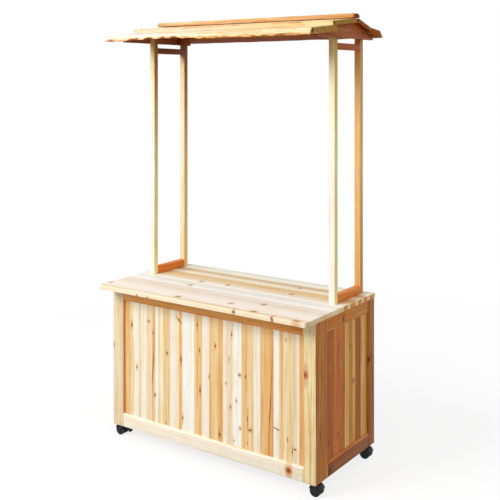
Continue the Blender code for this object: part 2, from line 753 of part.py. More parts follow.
def pedal_mesh():
    """A foot pedal about its pivot: boss, snap-in trunnions, a broad pad and the brake shoe."""
    arm_points = [
        (-0.0005, -0.0040),
        (0.0040, 0.0030),
        (0.0180, -0.0030),
        (0.0195, -0.0060),
        (0.0180, -0.0195),
        (0.0120, -0.0210),
        (0.0045, -0.0165),
    ]
    arm = outline("pedal_arm", arm_points, PEDAL_WIDTH / 2, CUTTERS)
    arm.rotation_euler = (math.pi / 2, 0.0, 0.0)
    pedal = as_mesh(arm)
    pad_low = (PEDAL_PAD_ACROSS[0], -PEDAL_PAD_WIDTH / 2, PEDAL_PAD_UP[0])
    pad_high = (PEDAL_PAD_ACROSS[1], PEDAL_PAD_WIDTH / 2, PEDAL_PAD_UP[1])
    boss_width = PEDAL_WIDTH - 2 * RUNNING_CLEARANCE
    ears_outside = PEDAL_WIDTH / 2 + RUNNING_CLEARANCE + EAR_THICKNESS
    reach = 2 * (ears_outside - TRUNNION_RECESS)
    tools = [
        rod("boss", (0, 0, 0), PEDAL_BOSS_RADIUS, boss_width, PIN_STEPS, "Y"),
        rod("trunnions", (0, 0, 0), TRUNNION_RADIUS, reach, TRUNNION_STEPS, "Y"),
        block("pad", pad_low, pad_high, CUTTERS),
        *brake_shoe_tools(),
    ]
    for tool in tools:
        combine(pedal, tool, "UNION")
    mesh = take_mesh(pedal, "brake_pedal")
    for tool in tools:
        bpy.data.objects.remove(tool)
    return mesh


def plate_mesh():
    """The mounting plate with its king pin, about the stem."""
    half = PLATE_SIZE / 2
    top = PLATE_BOTTOM + PLATE_THICKNESS
    plate = block("plate", (-half, -half, PLATE_BOTTOM), (half, half, top), CUTTERS)
    plate = as_mesh(ease_edges(plate, PLATE_EDGE))
    pin_length = KING_PIN_LENGTH + PLATE_THICKNESS / 2
    pin_centre = (0.0, 0.0, PLATE_BOTTOM + PLATE_THICKNESS / 2 - pin_length / 2)
    pin = rod("king_pin", pin_centre, KING_PIN_RADIUS, pin_length, PIN_STEPS)
    combine(plate, pin, "UNION")
    mesh = take_mesh(plate, "caster_plate")
    bpy.data.objects.remove(pin)
    return mesh


def build_casters():
    plate = plate_mesh()
    wheel = turned_wheel()
    hoods = {False: hood_mesh(False), True: hood_mesh(True)}
    pedal = pedal_mesh()
    corners = (
        ("front_left", -CASTER_X, -CASTER_Y, True),
        ("front_right", CASTER_X, -CASTER_Y, False),
        ("rear_left", -CASTER_X, CASTER_Y, True),
        ("rear_right", CASTER_X, CASTER_Y, False),
    )
    for corner, x, y, braked in corners:
        turn = 0.0 if x < 0 else math.pi
        stem = bpy.data.objects.new(corner + "_caster", None)
        stem.location = (x, y, 0.0)
        stem.rotation_euler = (0.0, 0.0, turn)
        BENCH.objects.link(stem)
        pieces = [
            ("_caster_plate", plate, (0, 0, 0), (0, 0, 0), ZINC_STEEL),
            ("_caster_hood", hoods[braked], (0, 0, 0), (0, 0, 0), BLACK_NYLON),
        ]
        for side_name, side in (("_wheel_a", -1), ("_wheel_b", 1)):
            place = (-CASTER_TRAIL, side * WHEEL_INNER_FACE, AXLE_HEIGHT)
            roll = (-side * math.pi / 2, 0.0, 0.0)
            pieces.append(("_caster" + side_name, wheel, place, roll, BLACK_NYLON))
        if braked:
            pivot = (PEDAL_PIVOT_X, 0.0, PEDAL_PIVOT_HEIGHT)
            pieces.append(("_brake_pedal", pedal, pivot, (0, 0, 0), BLACK_NYLON))
        for name, mesh, location, rotation, finish in pieces:
            piece = link_mesh(corner + name, mesh.copy(), BENCH, location)
            piece.rotation_euler = rotation
            piece.parent = stem
            paint(piece, finish)


build_cabinet_faces()
build_cabinet_inside()
build_worktop()
build_post_frames()
build_roof()
build_casters()
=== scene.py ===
"""Looks of a rolling potting bench in knotty fir, with waney roof boards, screws and casters."""

import json
import math

import bmesh
import bpy
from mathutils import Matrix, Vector, noise


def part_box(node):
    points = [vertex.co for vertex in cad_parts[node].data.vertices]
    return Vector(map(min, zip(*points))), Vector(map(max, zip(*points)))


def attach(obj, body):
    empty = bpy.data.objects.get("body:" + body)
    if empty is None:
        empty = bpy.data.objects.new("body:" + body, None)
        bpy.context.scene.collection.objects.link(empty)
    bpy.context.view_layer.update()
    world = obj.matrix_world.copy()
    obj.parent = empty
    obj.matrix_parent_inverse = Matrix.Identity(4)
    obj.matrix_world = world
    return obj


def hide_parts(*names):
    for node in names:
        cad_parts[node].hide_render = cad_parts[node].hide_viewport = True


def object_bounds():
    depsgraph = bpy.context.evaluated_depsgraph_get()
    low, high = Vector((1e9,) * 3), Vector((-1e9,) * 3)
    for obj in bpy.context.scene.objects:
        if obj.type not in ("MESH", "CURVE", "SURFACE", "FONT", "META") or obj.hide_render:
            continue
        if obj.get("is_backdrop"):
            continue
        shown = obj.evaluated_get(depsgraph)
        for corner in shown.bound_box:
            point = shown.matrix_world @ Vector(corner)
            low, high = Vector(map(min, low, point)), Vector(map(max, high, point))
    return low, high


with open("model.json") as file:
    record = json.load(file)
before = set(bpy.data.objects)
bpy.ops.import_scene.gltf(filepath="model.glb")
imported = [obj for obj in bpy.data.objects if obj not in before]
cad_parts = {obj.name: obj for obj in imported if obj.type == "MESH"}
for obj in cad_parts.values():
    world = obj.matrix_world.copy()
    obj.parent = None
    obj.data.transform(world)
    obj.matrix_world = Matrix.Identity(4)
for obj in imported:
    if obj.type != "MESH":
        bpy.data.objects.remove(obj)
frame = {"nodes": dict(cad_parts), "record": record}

CAD_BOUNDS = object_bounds()
NODES = frame["nodes"]
MM = 0.001
AXIS = {"X": 0, "Y": 1, "Z": 2}

# Tones of fir, from reddish heartwood to white sapwood. The darker ones from rust to corn, for the
# end panels, are partly the wood's own tone and partly painted shade
FIR = {
    "russet": "E69A48", "tan": "F4C888", "honey": "F6D49C", "straw": "F8E0B0", "peach": "F8E6C8",
    "oat": "F3E6C2", "cream": "FEF2D0", "ivory": "FDF7E8", "white": "FFFFF8", "rust": "BE7228",
    "clay": "DA873F", "umber": "C68430", "ochre": "E0A656", "wheat": "F6D386", "corn": "F2CE80",
}
# What figure, age and sap do to those tones, and the colours of knots and bark. The tone for the
# roof boards' sawn ends is end grain with painted shade
WARM = "EFDCBC"
HEARTWOOD = "EDCB96"
DULL = "F8F2E8"
LATEWOOD = "ECD8B8"
SOAKED = "FFF0CC"
KNOT_CORE = "4A2A12"
KNOT_HALO = "DC9F5E"
RED_KNOT = "BC5A22"
END_GRAIN_AND_SHADE = "C8AC78"
INNER_BARK = "ECC68E"
PEELED = "CC8C4C"
BARK = "6A4424"


def linear(colour):
    """An sRGB hex colour as linear red, green, blue and alpha."""
    channels = [int(colour[i : i + 2], 16) / 255 for i in (0, 2, 4)]
    return (*(c / 12.92 if c <= 0.04045 else ((c + 0.055) / 1.055) ** 2.4 for c in channels), 1.0)


def add_node(tree, kind, inputs=(), out=0, **settings):
    """Adds a node with its settings and its inputs' values or links, and returns an output. Inputs
    go by name, or by number in a tuple. A kind that names no family is a shader node's."""
    node = tree.nodes.new(kind if "Node" in kind else "ShaderNode" + kind)
    for name, value in settings.items():
        setattr(node, name, value)
    for key, value in inputs.items() if isinstance(inputs, dict) else enumerate(inputs):
        if isinstance(value, bpy.types.NodeSocket):
            tree.links.new(value, node.inputs[key])
        else:
            node.inputs[key].default_value = value
    return node.outputs[out] if len(node.outputs) else None


def new_material(name):
    """A material with its node tree, its main shader, and the object coordinates to draw it in."""
    material = bpy.data.materials.new(name)
    material.use_nodes = True
    tree = material.node_tree
    return material, tree, tree.nodes["Principled BSDF"], add_node(tree, "TexCoord", out=3)


def finish_material(tree, shader, colour, rough, bump, **constants):
    """Links a material's colour, roughness and bump, and sets the shader's other sockets."""
    tree.links.new(colour, shader.inputs["Base Color"])
    tree.links.new(rough, shader.inputs["Roughness"])
    tree.links.new(bump, shader.inputs["Normal"])
    for name, value in constants.items():
        shader.inputs[name.replace("_", " ")].default_value = value


# Fir

RING_WIDTH = 8 * MM       # growth rings, drawn about twice as wide as real ones so that they show
STREAK_WIDTH = 14 * MM    # bands of darker and paler wood across a board
FIGURE_WIDTH = 4.5 * MM   # finer figure inside them
FIBRE_WIDTH = 1.0 * MM    # the brushed feel of a planed face
FIBRE_RELIEF = 0.25 * MM
GRAIN_STRETCH = 30        # how much longer than wide each streak is
DRIFT_WIDTH = 110 * MM    # slow change of tone along a board
WANDER_WIDTH = 40 * MM    # the grain strays from straight over this width
GRAIN_SWAY = 12 * MM      # and by at most this much, and the rings by a little more
RING_SWAY = 16 * MM
RING_BOW = 1.6            # how many rings bow round a knot
HEART_REACH = 45, 20      # the tree's heart lies about this far from a board, give or take, in mm
RAGGED_WIDTH = 5 * MM     # the uneven outline of a knot, and how far it strays either way
RAGGED_DEPTH = 2 * MM
HALO_STRETCH = 0.45       # a halo is measured this much shorter along the grain, so it runs further
BARK_PATCH = 22 * MM      # patches of bark left on a natural edge

# Which axes run across, along and through a board that is seen on each side of the bench
FACES = {"front": (0, 2, 1), "end": (1, 2, 0), "top": (0, 1, 2)}
STRIP_KNOTS = 5


def knots(face, *spots, at=0.0, depth=math.inf):
    """Knots on a face, each (across, along, half width, half length, lean in degrees) in mm. Each
    becomes its centre and the vectors that measure from it in knot radii. A knot without a depth
    runs through the board."""
    across_axis, along_axis, through_axis = FACES[face]
    found = []
    for u, v, half_width, half_length, *lean in spots:
        turn = math.radians(lean[0] if lean else 0.0)
        centre, across, along, through = (Vector((0.0, 0.0, 0.0)) for _ in range(4))
        centre[across_axis], centre[along_axis], centre[through_axis] = u * MM, v * MM, at * MM
        across[across_axis] = math.cos(turn) / (half_width * MM)
        across[along_axis] = math.sin(turn) / (half_width * MM)
        along[across_axis] = -math.sin(turn) / (half_length * MM)
        along[along_axis] = math.cos(turn) / (half_length * MM)
        through[through_axis] = 1 / (depth * MM)
        found.append((centre, across, along, through))
    return found


def nearest_knot(tree, place, spots):
    """The distance to the nearest knot's core and to its halo, in knot radii."""
    core = halo = None
    for centre, *measures in spots:
        offset = add_node(tree, "VectorMath", (place, centre), operation="SUBTRACT")
        parts = [
            add_node(tree, "VectorMath", (offset, measure), 1, operation="DOT_PRODUCT")
            for measure in measures
        ]
        flat = add_node(tree, "CombineXYZ", parts)
        wide = add_node(tree, "VectorMath", (flat, (1.0, HALO_STRETCH, 1.0)), operation="MULTIPLY")
        own_core = add_node(tree, "VectorMath", (flat,), 1, operation="LENGTH")
        own_halo = add_node(tree, "VectorMath", (wide,), 1, operation="LENGTH")
        if core is not None:
            own_core = add_node(tree, "Math", (core, own_core), operation="MINIMUM")
            own_halo = add_node(tree, "Math", (halo, own_halo), operation="MINIMUM")
        core, halo = own_core, own_halo
    return core, halo


def stain(tree, colour, where, start, end, strength, tone, blend="MIX"):
    """Lays a tone over a colour, more and more as a value runs from start to end."""
    inputs = {"Value": where, "From Min": start, "From Max": end, "To Max": strength}
    amount = add_node(tree, "MapRange", inputs, interpolation_type="SMOOTHSTEP")
    inputs = {0: amount, 6: colour, 7: linear(tone) if isinstance(tone, str) else tone}
    return add_node(tree, "Mix", inputs, out=2, data_type="RGBA", blend_type=blend)


def toned(tree, place, tone):
    """A tone's colour. A tone is one hex value or palette name, or (axis, kind, [(mm, tone), ...])
    for wood that changes across a board, in glued strips or fading."""
    if isinstance(tone, str):
        return linear(FIR.get(tone, tone))
    axis, kind, stops = tone
    start, end = stops[0][0], stops[-1][0]
    part = add_node(tree, "SeparateXYZ", (place,), out=AXIS[axis])
    inputs = {"Value": part, "From Min": start * MM, "From Max": end * MM}
    colour = add_node(tree, "ValToRGB", (add_node(tree, "MapRange", inputs),))
    ramp = colour.node.color_ramp
    ramp.interpolation = "CONSTANT" if kind == "strips" else "LINEAR"
    while len(ramp.elements) < len(stops):
        ramp.elements.new(0.5)
    for element, (position, stop_tone) in zip(ramp.elements, stops):
        element.position = (position - start) / (end - start)
        element.color = linear(FIR.get(stop_tone, stop_tone))
    return colour


def along_axis(tree, direction, axis):
    """How much of a direction lies along an axis, whichever way it points."""
    part = add_node(tree, "SeparateXYZ", (direction,), out=AXIS[axis])
    return add_node(tree, "Math", (part,), operation="ABSOLUTE")


def fir(
    name, node=None, tone=None, grain="X", dark_knots=(), red_knots=(), turned=None,
    underside_shade=None, bevel_tone=None, end_soak_and_shade=SOAKED, seed=0.0, figure=1.0, waney=False,
    roughness=0.5,
):
    """Fir, planed and sealed with a thin clear satin coat: warm streaks along the grain, faint
    growth rings that close to arcs on the sawn ends, knots with an amber halo, and a soft sheen.
    Without a node it is for glued strips, which say their own tones, knots and hearts. turned is
    the axis and tone of faces that differ from the rest."""
    material, tree, shader, place = new_material(name)
    facing = place.node.outputs["Normal"]

    # Each board has its own grain, and so does each strip of a glued board
    jump = (seed * 0.731, seed * 1.137, seed * 0.913)
    if node is None:
        base = add_node(tree, "Attribute", out=0, attribute_name="strip_tone")
        jump = add_node(tree, "Attribute", out=1, attribute_name="strip_shift")
        heart = add_node(tree, "Attribute", out=1, attribute_name="strip_heart")
        dark_knots = []
        for number in range(STRIP_KNOTS):
            names = [f"knot_{number}_{part}" for part in ("centre", "across", "along")]
            parts = [add_node(tree, "Attribute", out=1, attribute_name=key) for key in names]
            dark_knots.append((*parts, (0.0, 0.0, 0.0)))
    else:
        base = toned(tree, place, tone)
        low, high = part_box(node)
        heart = (low + high) / 2
        beside = [axis for axis in range(3) if axis != AXIS[grain]]
        reach = (HEART_REACH[0] + HEART_REACH[1] * math.sin(seed * 1.7)) * MM
        heart[beside[0]] += reach * math.cos(seed * 2.4)
        heart[beside[1]] += reach * math.sin(seed * 2.4)
        if not isinstance(tone, str) and tone[1] == "strips":
            chance = add_node(tree, "TexWhiteNoise", (base,), out=1)
            jump = add_node(tree, "VectorMath", (chance, (3, 3, 3)), operation="MULTIPLY")
            inputs = (chance, (0.12, 0.12, 0.12), heart)
            heart = add_node(tree, "VectorMath", inputs, operation="MULTIPLY_ADD")
    shifted = add_node(tree, "VectorMath", (place, jump), operation="ADD")

    def grain_noise(vector, width, detail, out=0):
        """Noise of a given width across the grain, drawn out along it."""
        scale = [1 / width] * 3
        scale[AXIS[grain]] /= GRAIN_STRETCH
        drawn = add_node(tree, "VectorMath", (vector, scale), operation="MULTIPLY")
        inputs = {"Vector": drawn, "Scale": 1.0, "Detail": detail}
        return add_node(tree, "TexNoise", inputs, out=out)

    # The grain wanders a few millimetres from straight
    wander = grain_noise(shifted, WANDER_WIDTH, 2.0, out=1)
    inputs = (wander, (GRAIN_SWAY,) * 3, shifted)
    swayed = add_node(tree, "VectorMath", inputs, operation="MULTIPLY_ADD")
    streak = grain_noise(swayed, STREAK_WIDTH, 3.0)
    fine = grain_noise(swayed, FIGURE_WIDTH, 4.0)
    fibre = grain_noise(swayed, FIBRE_WIDTH, 2.0)
    drift = add_node(tree, "TexNoise", {"Vector": shifted, "Scale": 1 / DRIFT_WIDTH, "Detail": 1.0})

    inputs = {"Vector": place, "Scale": 1 / RAGGED_WIDTH, "Detail": 2.0}
    rough_edge = add_node(tree, "TexNoise", inputs, out=1)
    inputs = (rough_edge, (2 * RAGGED_DEPTH,) * 3, place)
    ragged = add_node(tree, "VectorMath", inputs, operation="MULTIPLY_ADD")
    ragged = add_node(tree, "VectorMath", (ragged, (RAGGED_DEPTH,) * 3), operation="SUBTRACT")
    dark = nearest_knot(tree, ragged, dark_knots) if dark_knots else None
    red = nearest_knot(tree, ragged, red_knots) if red_knots else None

    # Growth rings round the heart of the tree; they bow round a knot
    flat = [1.0, 1.0, 1.0]
    flat[AXIS[grain]] = 0.02
    from_heart = add_node(tree, "VectorMath", (place, heart), operation="SUBTRACT")
    inputs = (wander, (RING_SWAY,) * 3, from_heart)
    from_heart = add_node(tree, "VectorMath", inputs, operation="MULTIPLY_ADD")
    from_heart = add_node(tree, "VectorMath", (from_heart, flat), operation="MULTIPLY")
    radius = add_node(tree, "VectorMath", (from_heart,), 1, operation="LENGTH")
    rings = add_node(tree, "Math", (radius, RING_WIDTH), operation="DIVIDE")
    for knot in (dark, red):
        if knot is not None:
            inputs = {"Value": knot[1], "From Min": 3.5, "From Max": 0.5, "To Max": RING_BOW}
            bow = add_node(tree, "MapRange", inputs, interpolation_type="SMOOTHSTEP")
            rings = add_node(tree, "Math", (rings, bow), operation="ADD")
    ring = add_node(tree, "Math", (rings,), operation="FRACT")
    latewood = add_node(tree, "Math", (ring, 3.0), operation="POWER")

    colour = base
    if turned:
        # Faces along one axis take another tone; on the posts and the front stiles that tone is
        # painted shade on their sides
        sideways = along_axis(tree, facing, turned[0])
        colour = stain(tree, colour, sideways, 0.6, 0.8, 1.0, toned(tree, place, turned[1]))
    # Painted light and shade on bevels and on flat tops and undersides: faces that tilt up or down
    # take another tone, lighter where light falls on them and darker where they are shaded
    if bevel_tone:
        bevel_light_mask = along_axis(tree, facing, "Z")
        colour = stain(tree, colour, bevel_light_mask, 0.35, 0.55, 0.9, bevel_tone)
    # Reddish heartwood is strongly streaked, white sapwood faintly
    paleness = add_node(tree, "SeparateColor", (colour,), out=2)
    streak = add_node(tree, "Math", (paleness, -0.22, streak), operation="MULTIPLY_ADD")
    fine_streak = add_node(tree, "Math", (paleness, -0.16, fine), operation="MULTIPLY_ADD")
    for where, start, end, strength, shade in (
        (streak, 0.36, 0.60, min(1.0, 0.65 * figure), HEARTWOOD),
        (fine_streak, 0.38, 0.62, min(1.0, 0.6 * figure), WARM),
        (drift, 0.58, 0.36, 0.4 * figure, DULL),
        (latewood, 0.05, 1.0, 0.5 * figure, LATEWOOD),
    ):
        colour = stain(tree, colour, where, start, end, strength, shade, "MULTIPLY")

    # Sawn ends soak up the coat: deeper in tone, with their rings plain to see. On the uncoated
    # roof boards the ends' deeper tone is painted shade over the end grain
    sawn_end = along_axis(tree, facing, grain)
    colour = stain(tree, colour, sawn_end, 0.70, 0.95, 1.0, end_soak_and_shade, "MULTIPLY")
    end_lines = add_node(tree, "Math", (sawn_end, latewood), operation="MULTIPLY")
    colour = stain(tree, colour, end_lines, 0.3, 0.95, 0.8, LATEWOOD, "MULTIPLY")

    if waney:
        # Patches of bark are left on the natural edges, with pale and orange inner bark round them
        edge = add_node(tree, "Attribute", out=2, attribute_name="bark")
        colour = stain(tree, colour, edge, 0.60, 1.1, 0.6, INNER_BARK)
        drawn = add_node(tree, "VectorMath", (shifted, (0.4, 1, 1)), operation="MULTIPLY")
        inputs = {"Vector": drawn, "Scale": 1 / BARK_PATCH, "Detail": 3.0}
        patches = add_node(tree, "TexNoise", inputs)
        left_on = add_node(tree, "Math", (patches, edge), operation="MULTIPLY")
        colour = stain(tree, colour, left_on, 0.44, 0.54, 0.8, PEELED)
        colour = stain(tree, colour, left_on, 0.60, 0.70, 0.8, BARK)
    # Painted shade: faces that look down are made darker and warmer, as under the roof
    if underside_shade:
        upward = add_node(tree, "SeparateXYZ", (facing,), out=2)
        colour = stain(tree, colour, upward, -0.5, -0.8, 1.0, underside_shade, "MULTIPLY")
    if dark is not None:
        colour = stain(tree, colour, dark[1], 2.4, 0.9, 0.6, KNOT_HALO, "MULTIPLY")
        colour = stain(tree, colour, dark[0], 1.15, 0.8, 0.9, KNOT_CORE)
    if red is not None:
        colour = stain(tree, colour, red[1], 1.6, 0.9, 0.5, KNOT_HALO, "MULTIPLY")
        colour = stain(tree, colour, red[0], 1.15, 0.75, 0.8, RED_KNOT)
        colour = stain(tree, colour, red[0], 0.45, 0.2, 0.6, KNOT_CORE)

    inputs = {"Value": fine, "To Min": roughness - 0.08, "To Max": roughness + 0.10}
    rough = add_node(tree, "MapRange", inputs)
    height = add_node(tree, "Math", (fibre, 0.5, latewood), operation="MULTIPLY_ADD")
    bump = add_node(tree, "Bump", {"Strength": 0.35, "Distance": FIBRE_RELIEF, "Height": height})
    # Roof boards are left rough sawn, without a coat
    specular, coat = (0.05, 0.0) if waney else (0.22, 0.04)
    finish_material(
        tree, shader, colour, rough, bump,
        IOR=1.5, Specular_IOR_Level=specular, Coat_Weight=coat, Coat_Roughness=0.35,
    )
    return material


# Metal and plastic

# Spark texture, drawn at 0.6 mm where the real one is 0.1 mm, so that it shows up close
SPARK_WIDTH = 0.6 * MM
SCUFF_WIDTH = 9 * MM
SPARK_RELIEF = 0.06 * MM
CLOUD_WIDTH = 5 * MM
# Rolling lines per metre along and across, drawn at 0.4 mm where real ones are finer
ROLLED_LINES = (80, 2500, 2500)
ROLLED_RELIEF = 0.03 * MM


def moulded_nylon():
    """Glass-filled black nylon, injection moulded: nearly black, slightly blue, with a fine spark
    texture that spreads the highlights."""
    material, tree, shader, place = new_material("black_nylon_moulded")
    grit = add_node(tree, "TexNoise", {"Vector": place, "Scale": 1 / SPARK_WIDTH, "Detail": 2.0})
    scuff = add_node(tree, "TexNoise", {"Vector": place, "Scale": 1 / SCUFF_WIDTH, "Detail": 4.0})
    colour = stain(tree, linear("0D1114"), scuff, 0.50, 0.75, 0.5, "262B2E")
    rough = add_node(tree, "MapRange", {"Value": scuff, "To Min": 0.34, "To Max": 0.52})
    bump = add_node(tree, "Bump", {"Strength": 0.25, "Distance": SPARK_RELIEF, "Height": grit})
    finish_material(tree, shader, colour, rough, bump, IOR=1.53, Specular_IOR_Level=0.25)
    return material


def zinc_plated_steel(name, tone, roughness):
    """Pressed steel with bright zinc plating: silver with faint clouding and fine rolling lines."""
    material, tree, shader, place = new_material(name)
    cloud = add_node(tree, "TexNoise", {"Vector": place, "Scale": 1 / CLOUD_WIDTH, "Detail": 3.0})
    colour = stain(tree, linear(tone), cloud, 0.3, 0.7, 1.0, "DDDFE2", "MULTIPLY")
    rolled = add_node(tree, "VectorMath", (place, ROLLED_LINES), operation="MULTIPLY")
    lines = add_node(tree, "TexNoise", {"Vector": rolled, "Scale": 1.0, "Detail": 2.0})
    bump = add_node(tree, "Bump", {"Strength": 0.2, "Distance": ROLLED_RELIEF, "Height": lines})
    inputs = {"Value": cloud, "To Min": roughness - 0.06, "To Max": roughness + 0.10}
    rough = add_node(tree, "MapRange", inputs)
    finish_material(tree, shader, colour, rough, bump, Metallic=1.0)
    return material


# Pieces


def linked(name, data):
    """A new object in the scene, at the origin."""
    obj = bpy.data.objects.new(name, data)
    bpy.context.scene.collection.objects.link(obj)
    return obj


def new_piece(name, mesh, body, slot, *replaced):
    """A finished mesh as a piece that rides on a body, and stands for the CAD nodes named."""
    piece = linked(name, mesh)
    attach(piece, body)
    if replaced:
        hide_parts(*replaced)
    return piece


def to_plain_mesh(obj, name):
    """The evaluated shape as a plain mesh; the object and its modifiers are removed."""
    bpy.context.view_layer.update()
    evaluated = obj.evaluated_get(bpy.context.evaluated_depsgraph_get())
    mesh = bpy.data.meshes.new_from_object(evaluated)
    mesh.name = name
    bpy.data.objects.remove(obj)
    return mesh


def node_tree(name, grows, inputs):
    """A Geometry Nodes tree with one output and named inputs of given kinds, and those inputs."""
    tree = bpy.data.node_groups.new(name, "GeometryNodeTree")
    for key, kind in inputs.items():
        tree.interface.new_socket(key, in_out="INPUT", socket_type="NodeSocket" + kind)
    tree.interface.new_socket(grows, in_out="OUTPUT", socket_type="NodeSocketGeometry")
    return tree, add_node(tree, "NodeGroupInput").node.outputs


# An attribute's kind and field, by how many numbers each point has
ATTRIBUTES = {1: ("FLOAT", "value"), 3: ("FLOAT_VECTOR", "vector"), 4: ("FLOAT_COLOR", "color")}


def grown(name, places, attributes, tree, values):
    """The plain mesh that Geometry Nodes make from points, whose attributes are flat lists of
    numbers. The tree's inputs are known by their sockets' identifiers."""
    mesh = bpy.data.meshes.new(name + "_points")
    mesh.from_pydata(places, [], [])
    for key, numbers in attributes.items():
        kind, field = ATTRIBUTES[len(numbers) // len(places)]
        mesh.attributes.new(key, kind, "POINT").data.foreach_set(field, numbers)
    holder = linked(name + "_points", mesh)
    modifier = holder.modifiers.new("growth", "NODES")
    modifier.node_group = tree
    for item in tree.interface.items_tree:
        if item.name in values and item.in_out == "INPUT":
            modifier[item.identifier] = values[item.name]
    return to_plain_mesh(holder, name)


def skinned(bm, name, rings, sharp):
    """Joins rings of vertices, closes the first and the last, and gives a smooth mesh with edges
    sharper than an angle in degrees kept crisp."""
    count = len(rings[0])
    for first, second in zip(rings, rings[1:]):
        for i in range(count):
            j = (i + 1) % count
            bm.faces.new((first[i], first[j], second[j], second[i]))
    bm.faces.new(rings[0])
    bm.faces.new(rings[-1])
    bmesh.ops.recalc_face_normals(bm, faces=bm.faces)
    mesh = bpy.data.meshes.new(name)
    bm.to_mesh(mesh)
    bm.free()
    mesh.shade_smooth()
    mesh.set_sharp_from_angle(angle=math.radians(sharp))
    return mesh


SAME_PLACE = 0.005 * MM


def softened_copy(node, name, width):
    """A merged copy of a CAD piece with its edges rounded over."""
    bm = bmesh.new()
    bm.from_mesh(NODES[node].data)
    bmesh.ops.remove_doubles(bm, verts=bm.verts, dist=SAME_PLACE)
    bmesh.ops.dissolve_limit(bm, angle_limit=math.radians(1), verts=bm.verts, edges=bm.edges)
    mesh = bpy.data.meshes.new(name)
    bm.to_mesh(mesh)
    bm.free()
    holder = linked(name + "_holder", mesh)
    bevel = holder.modifiers.new("soft_edges", "BEVEL")
    bevel.width = width
    bevel.segments = 2
    bevel.limit_method = "ANGLE"
    bevel.angle_limit = math.radians(25)
    soft = to_plain_mesh(holder, name)
    soft.materials.clear()
    soft.shade_smooth()
    soft.set_sharp_from_angle(angle=math.radians(32))
    return soft


# Edge-glued panels, made of strips by Geometry Nodes

STRIP_ARRIS = 0.4 * MM
NARROWEST_STRIP = 8 * MM
KNOT_OVERLAP = 2 * MM      # a knot this far over a joint still belongs to the strip
NO_KNOT = ((50.0, 50.0, 50.0), (1.0, 1.0, 1.0), (1.0, 1.0, 1.0))    # 50 m away, out of sight
LEFTOVER = 1 * MM          # too little of a panel to be a strip
STRIP_HEART = 40, 25, 40   # how far the tree's heart lies from a strip: behind it, give or take,
                           # and to either side, in mm

# A panel's strips from its left or front edge: tone and width in mm
FRONT_STRIPS = (
    ("russet", 19), ("honey", 27), ("straw", 20), ("ivory", 38), ("oat", 16), ("ivory", 35),
    ("peach", 35), ("honey", 22), ("white", 19), ("oat", 13), ("cream", 19), ("straw", 32),
    ("oat", 13), ("ivory", 36), ("cream", 20), ("tan", 19), ("white", 73), ("straw", 15),
    ("honey", 34), ("ivory", 41), ("honey", 24), ("straw", 29), ("tan", 28), ("ivory", 24),
    ("peach", 33), ("white", 49), ("honey", 32), ("straw", 34), ("ivory", 39), ("honey", 25),
    ("tan", 27), ("tan", 18), ("white", 30), ("honey", 20), ("cream", 24), ("straw", 28),
    ("oat", 21), ("ivory", 11), ("tan", 40),
)
# The end panels' tones are partly the wood's own and partly painted shade: darker and more
# saturated, for the end's shaded side
END_STRIPS = (
    ("rust", 73), ("ochre", 18), ("clay", 69), ("umber", 16), ("wheat", 36), ("ochre", 33),
    ("corn", 30), ("rust", 56), ("corn", 42), ("ochre", 40),
)
INSIDE_STRIPS = (
    ("cream", 44), ("honey", 38), ("ivory", 52), ("straw", 40), ("peach", 46), ("oat", 48),
    ("tan", 36), ("cream", 50), ("straw", 44), ("ivory", 40), ("honey", 42), ("oat", 54),
)
FRONT_KNOTS = knots(
    "front",
    (-478, 578, 5, 6), (-444, 372, 4, 5), (-365, 612, 5, 3), (-338, 559, 2, 4), (-248, 477, 5, 4),
    (-172, 648, 3, 12, 50), (-160, 460, 4, 9), (-62, 643, 3, 8), (-47, 526, 3, 5), (-44, 340, 4, 8),
    (9, 412, 3, 4), (46, 563, 4, 5), (140, 633, 3, 6), (126, 515, 2, 4), (185, 455, 7, 3),
    (108, 401, 3, 3), (219, 453, 3, 4), (168, 335, 3, 4), (134, 298, 3, 4), (230, 265, 2, 14),
    (71, 157, 5, 6), (188, 212, 4, 3), (244, 216, 9, 3, 10), (229, 155, 2, 3),
    (388, 256, 2, 19, 76), (445, 221, 2, 4), (-151, 184, 4, 8), (-255, 136, 2, 3), (154, 147, 2, 4),
    (-325, 257, 5, 4), (437, 659, 2, 5), (482, 188, 8, 2), (471, 176, 2, 8),
    (-338, 390, 2, 80, -3), (353, 330, 2, 70, -3),
)
END_KNOTS = knots(
    "end",
    (-55, 597, 4, 10, -20), (50, 579, 4, 4), (83, 409, 6, 5), (-4, 404, 5, 8),
    (-63, 212, 4, 6, -30), (143, 481, 3, 4), (-144, 200, 5, 4),
)
INSIDE_KNOTS = knots(
    "top", (-420, 60, 9, 5), (-130, -90, 7, 4), (60, 120, 8, 5), (310, -40, 6, 4), (470, 150, 9, 5)
)


def strip_tree():
    """Geometry Nodes: a block for each point, as large as the point says."""
    tree, given = node_tree("glued_strips", "Panel", {"Strips": "Geometry", "Wood": "Material"})
    block = add_node(tree, "GeometryNodeMeshCube", {"Size": (1.0, 1.0, 1.0)})
    name = {"Name": "strip_size"}
    size = add_node(tree, "GeometryNodeInputNamedAttribute", name, data_type="FLOAT_VECTOR")
    inputs = {"Points": given["Strips"], "Instance": block, "Scale": size}
    blocks = add_node(tree, "GeometryNodeInstanceOnPoints", inputs)
    solid = add_node(tree, "GeometryNodeRealizeInstances", (blocks,))
    inputs = {"Geometry": solid, "Material": given["Wood"]}
    add_node(tree, "NodeGroupOutput", (add_node(tree, "GeometryNodeSetMaterial", inputs),))
    return tree


STRIP_TREE = strip_tree()


def cut_strips(low, high, strips):
    """The (start, end, tone) of each strip across a panel; the last one takes what is left."""
    cuts = []
    at = low
    while high - at > LEFTOVER:
        tone, width = strips[len(cuts) % len(strips)]
        end = at + width * MM
        if high - end < NARROWEST_STRIP:
            end = high
        cuts.append((at, end, FIR[tone]))
        at = end
    return cuts


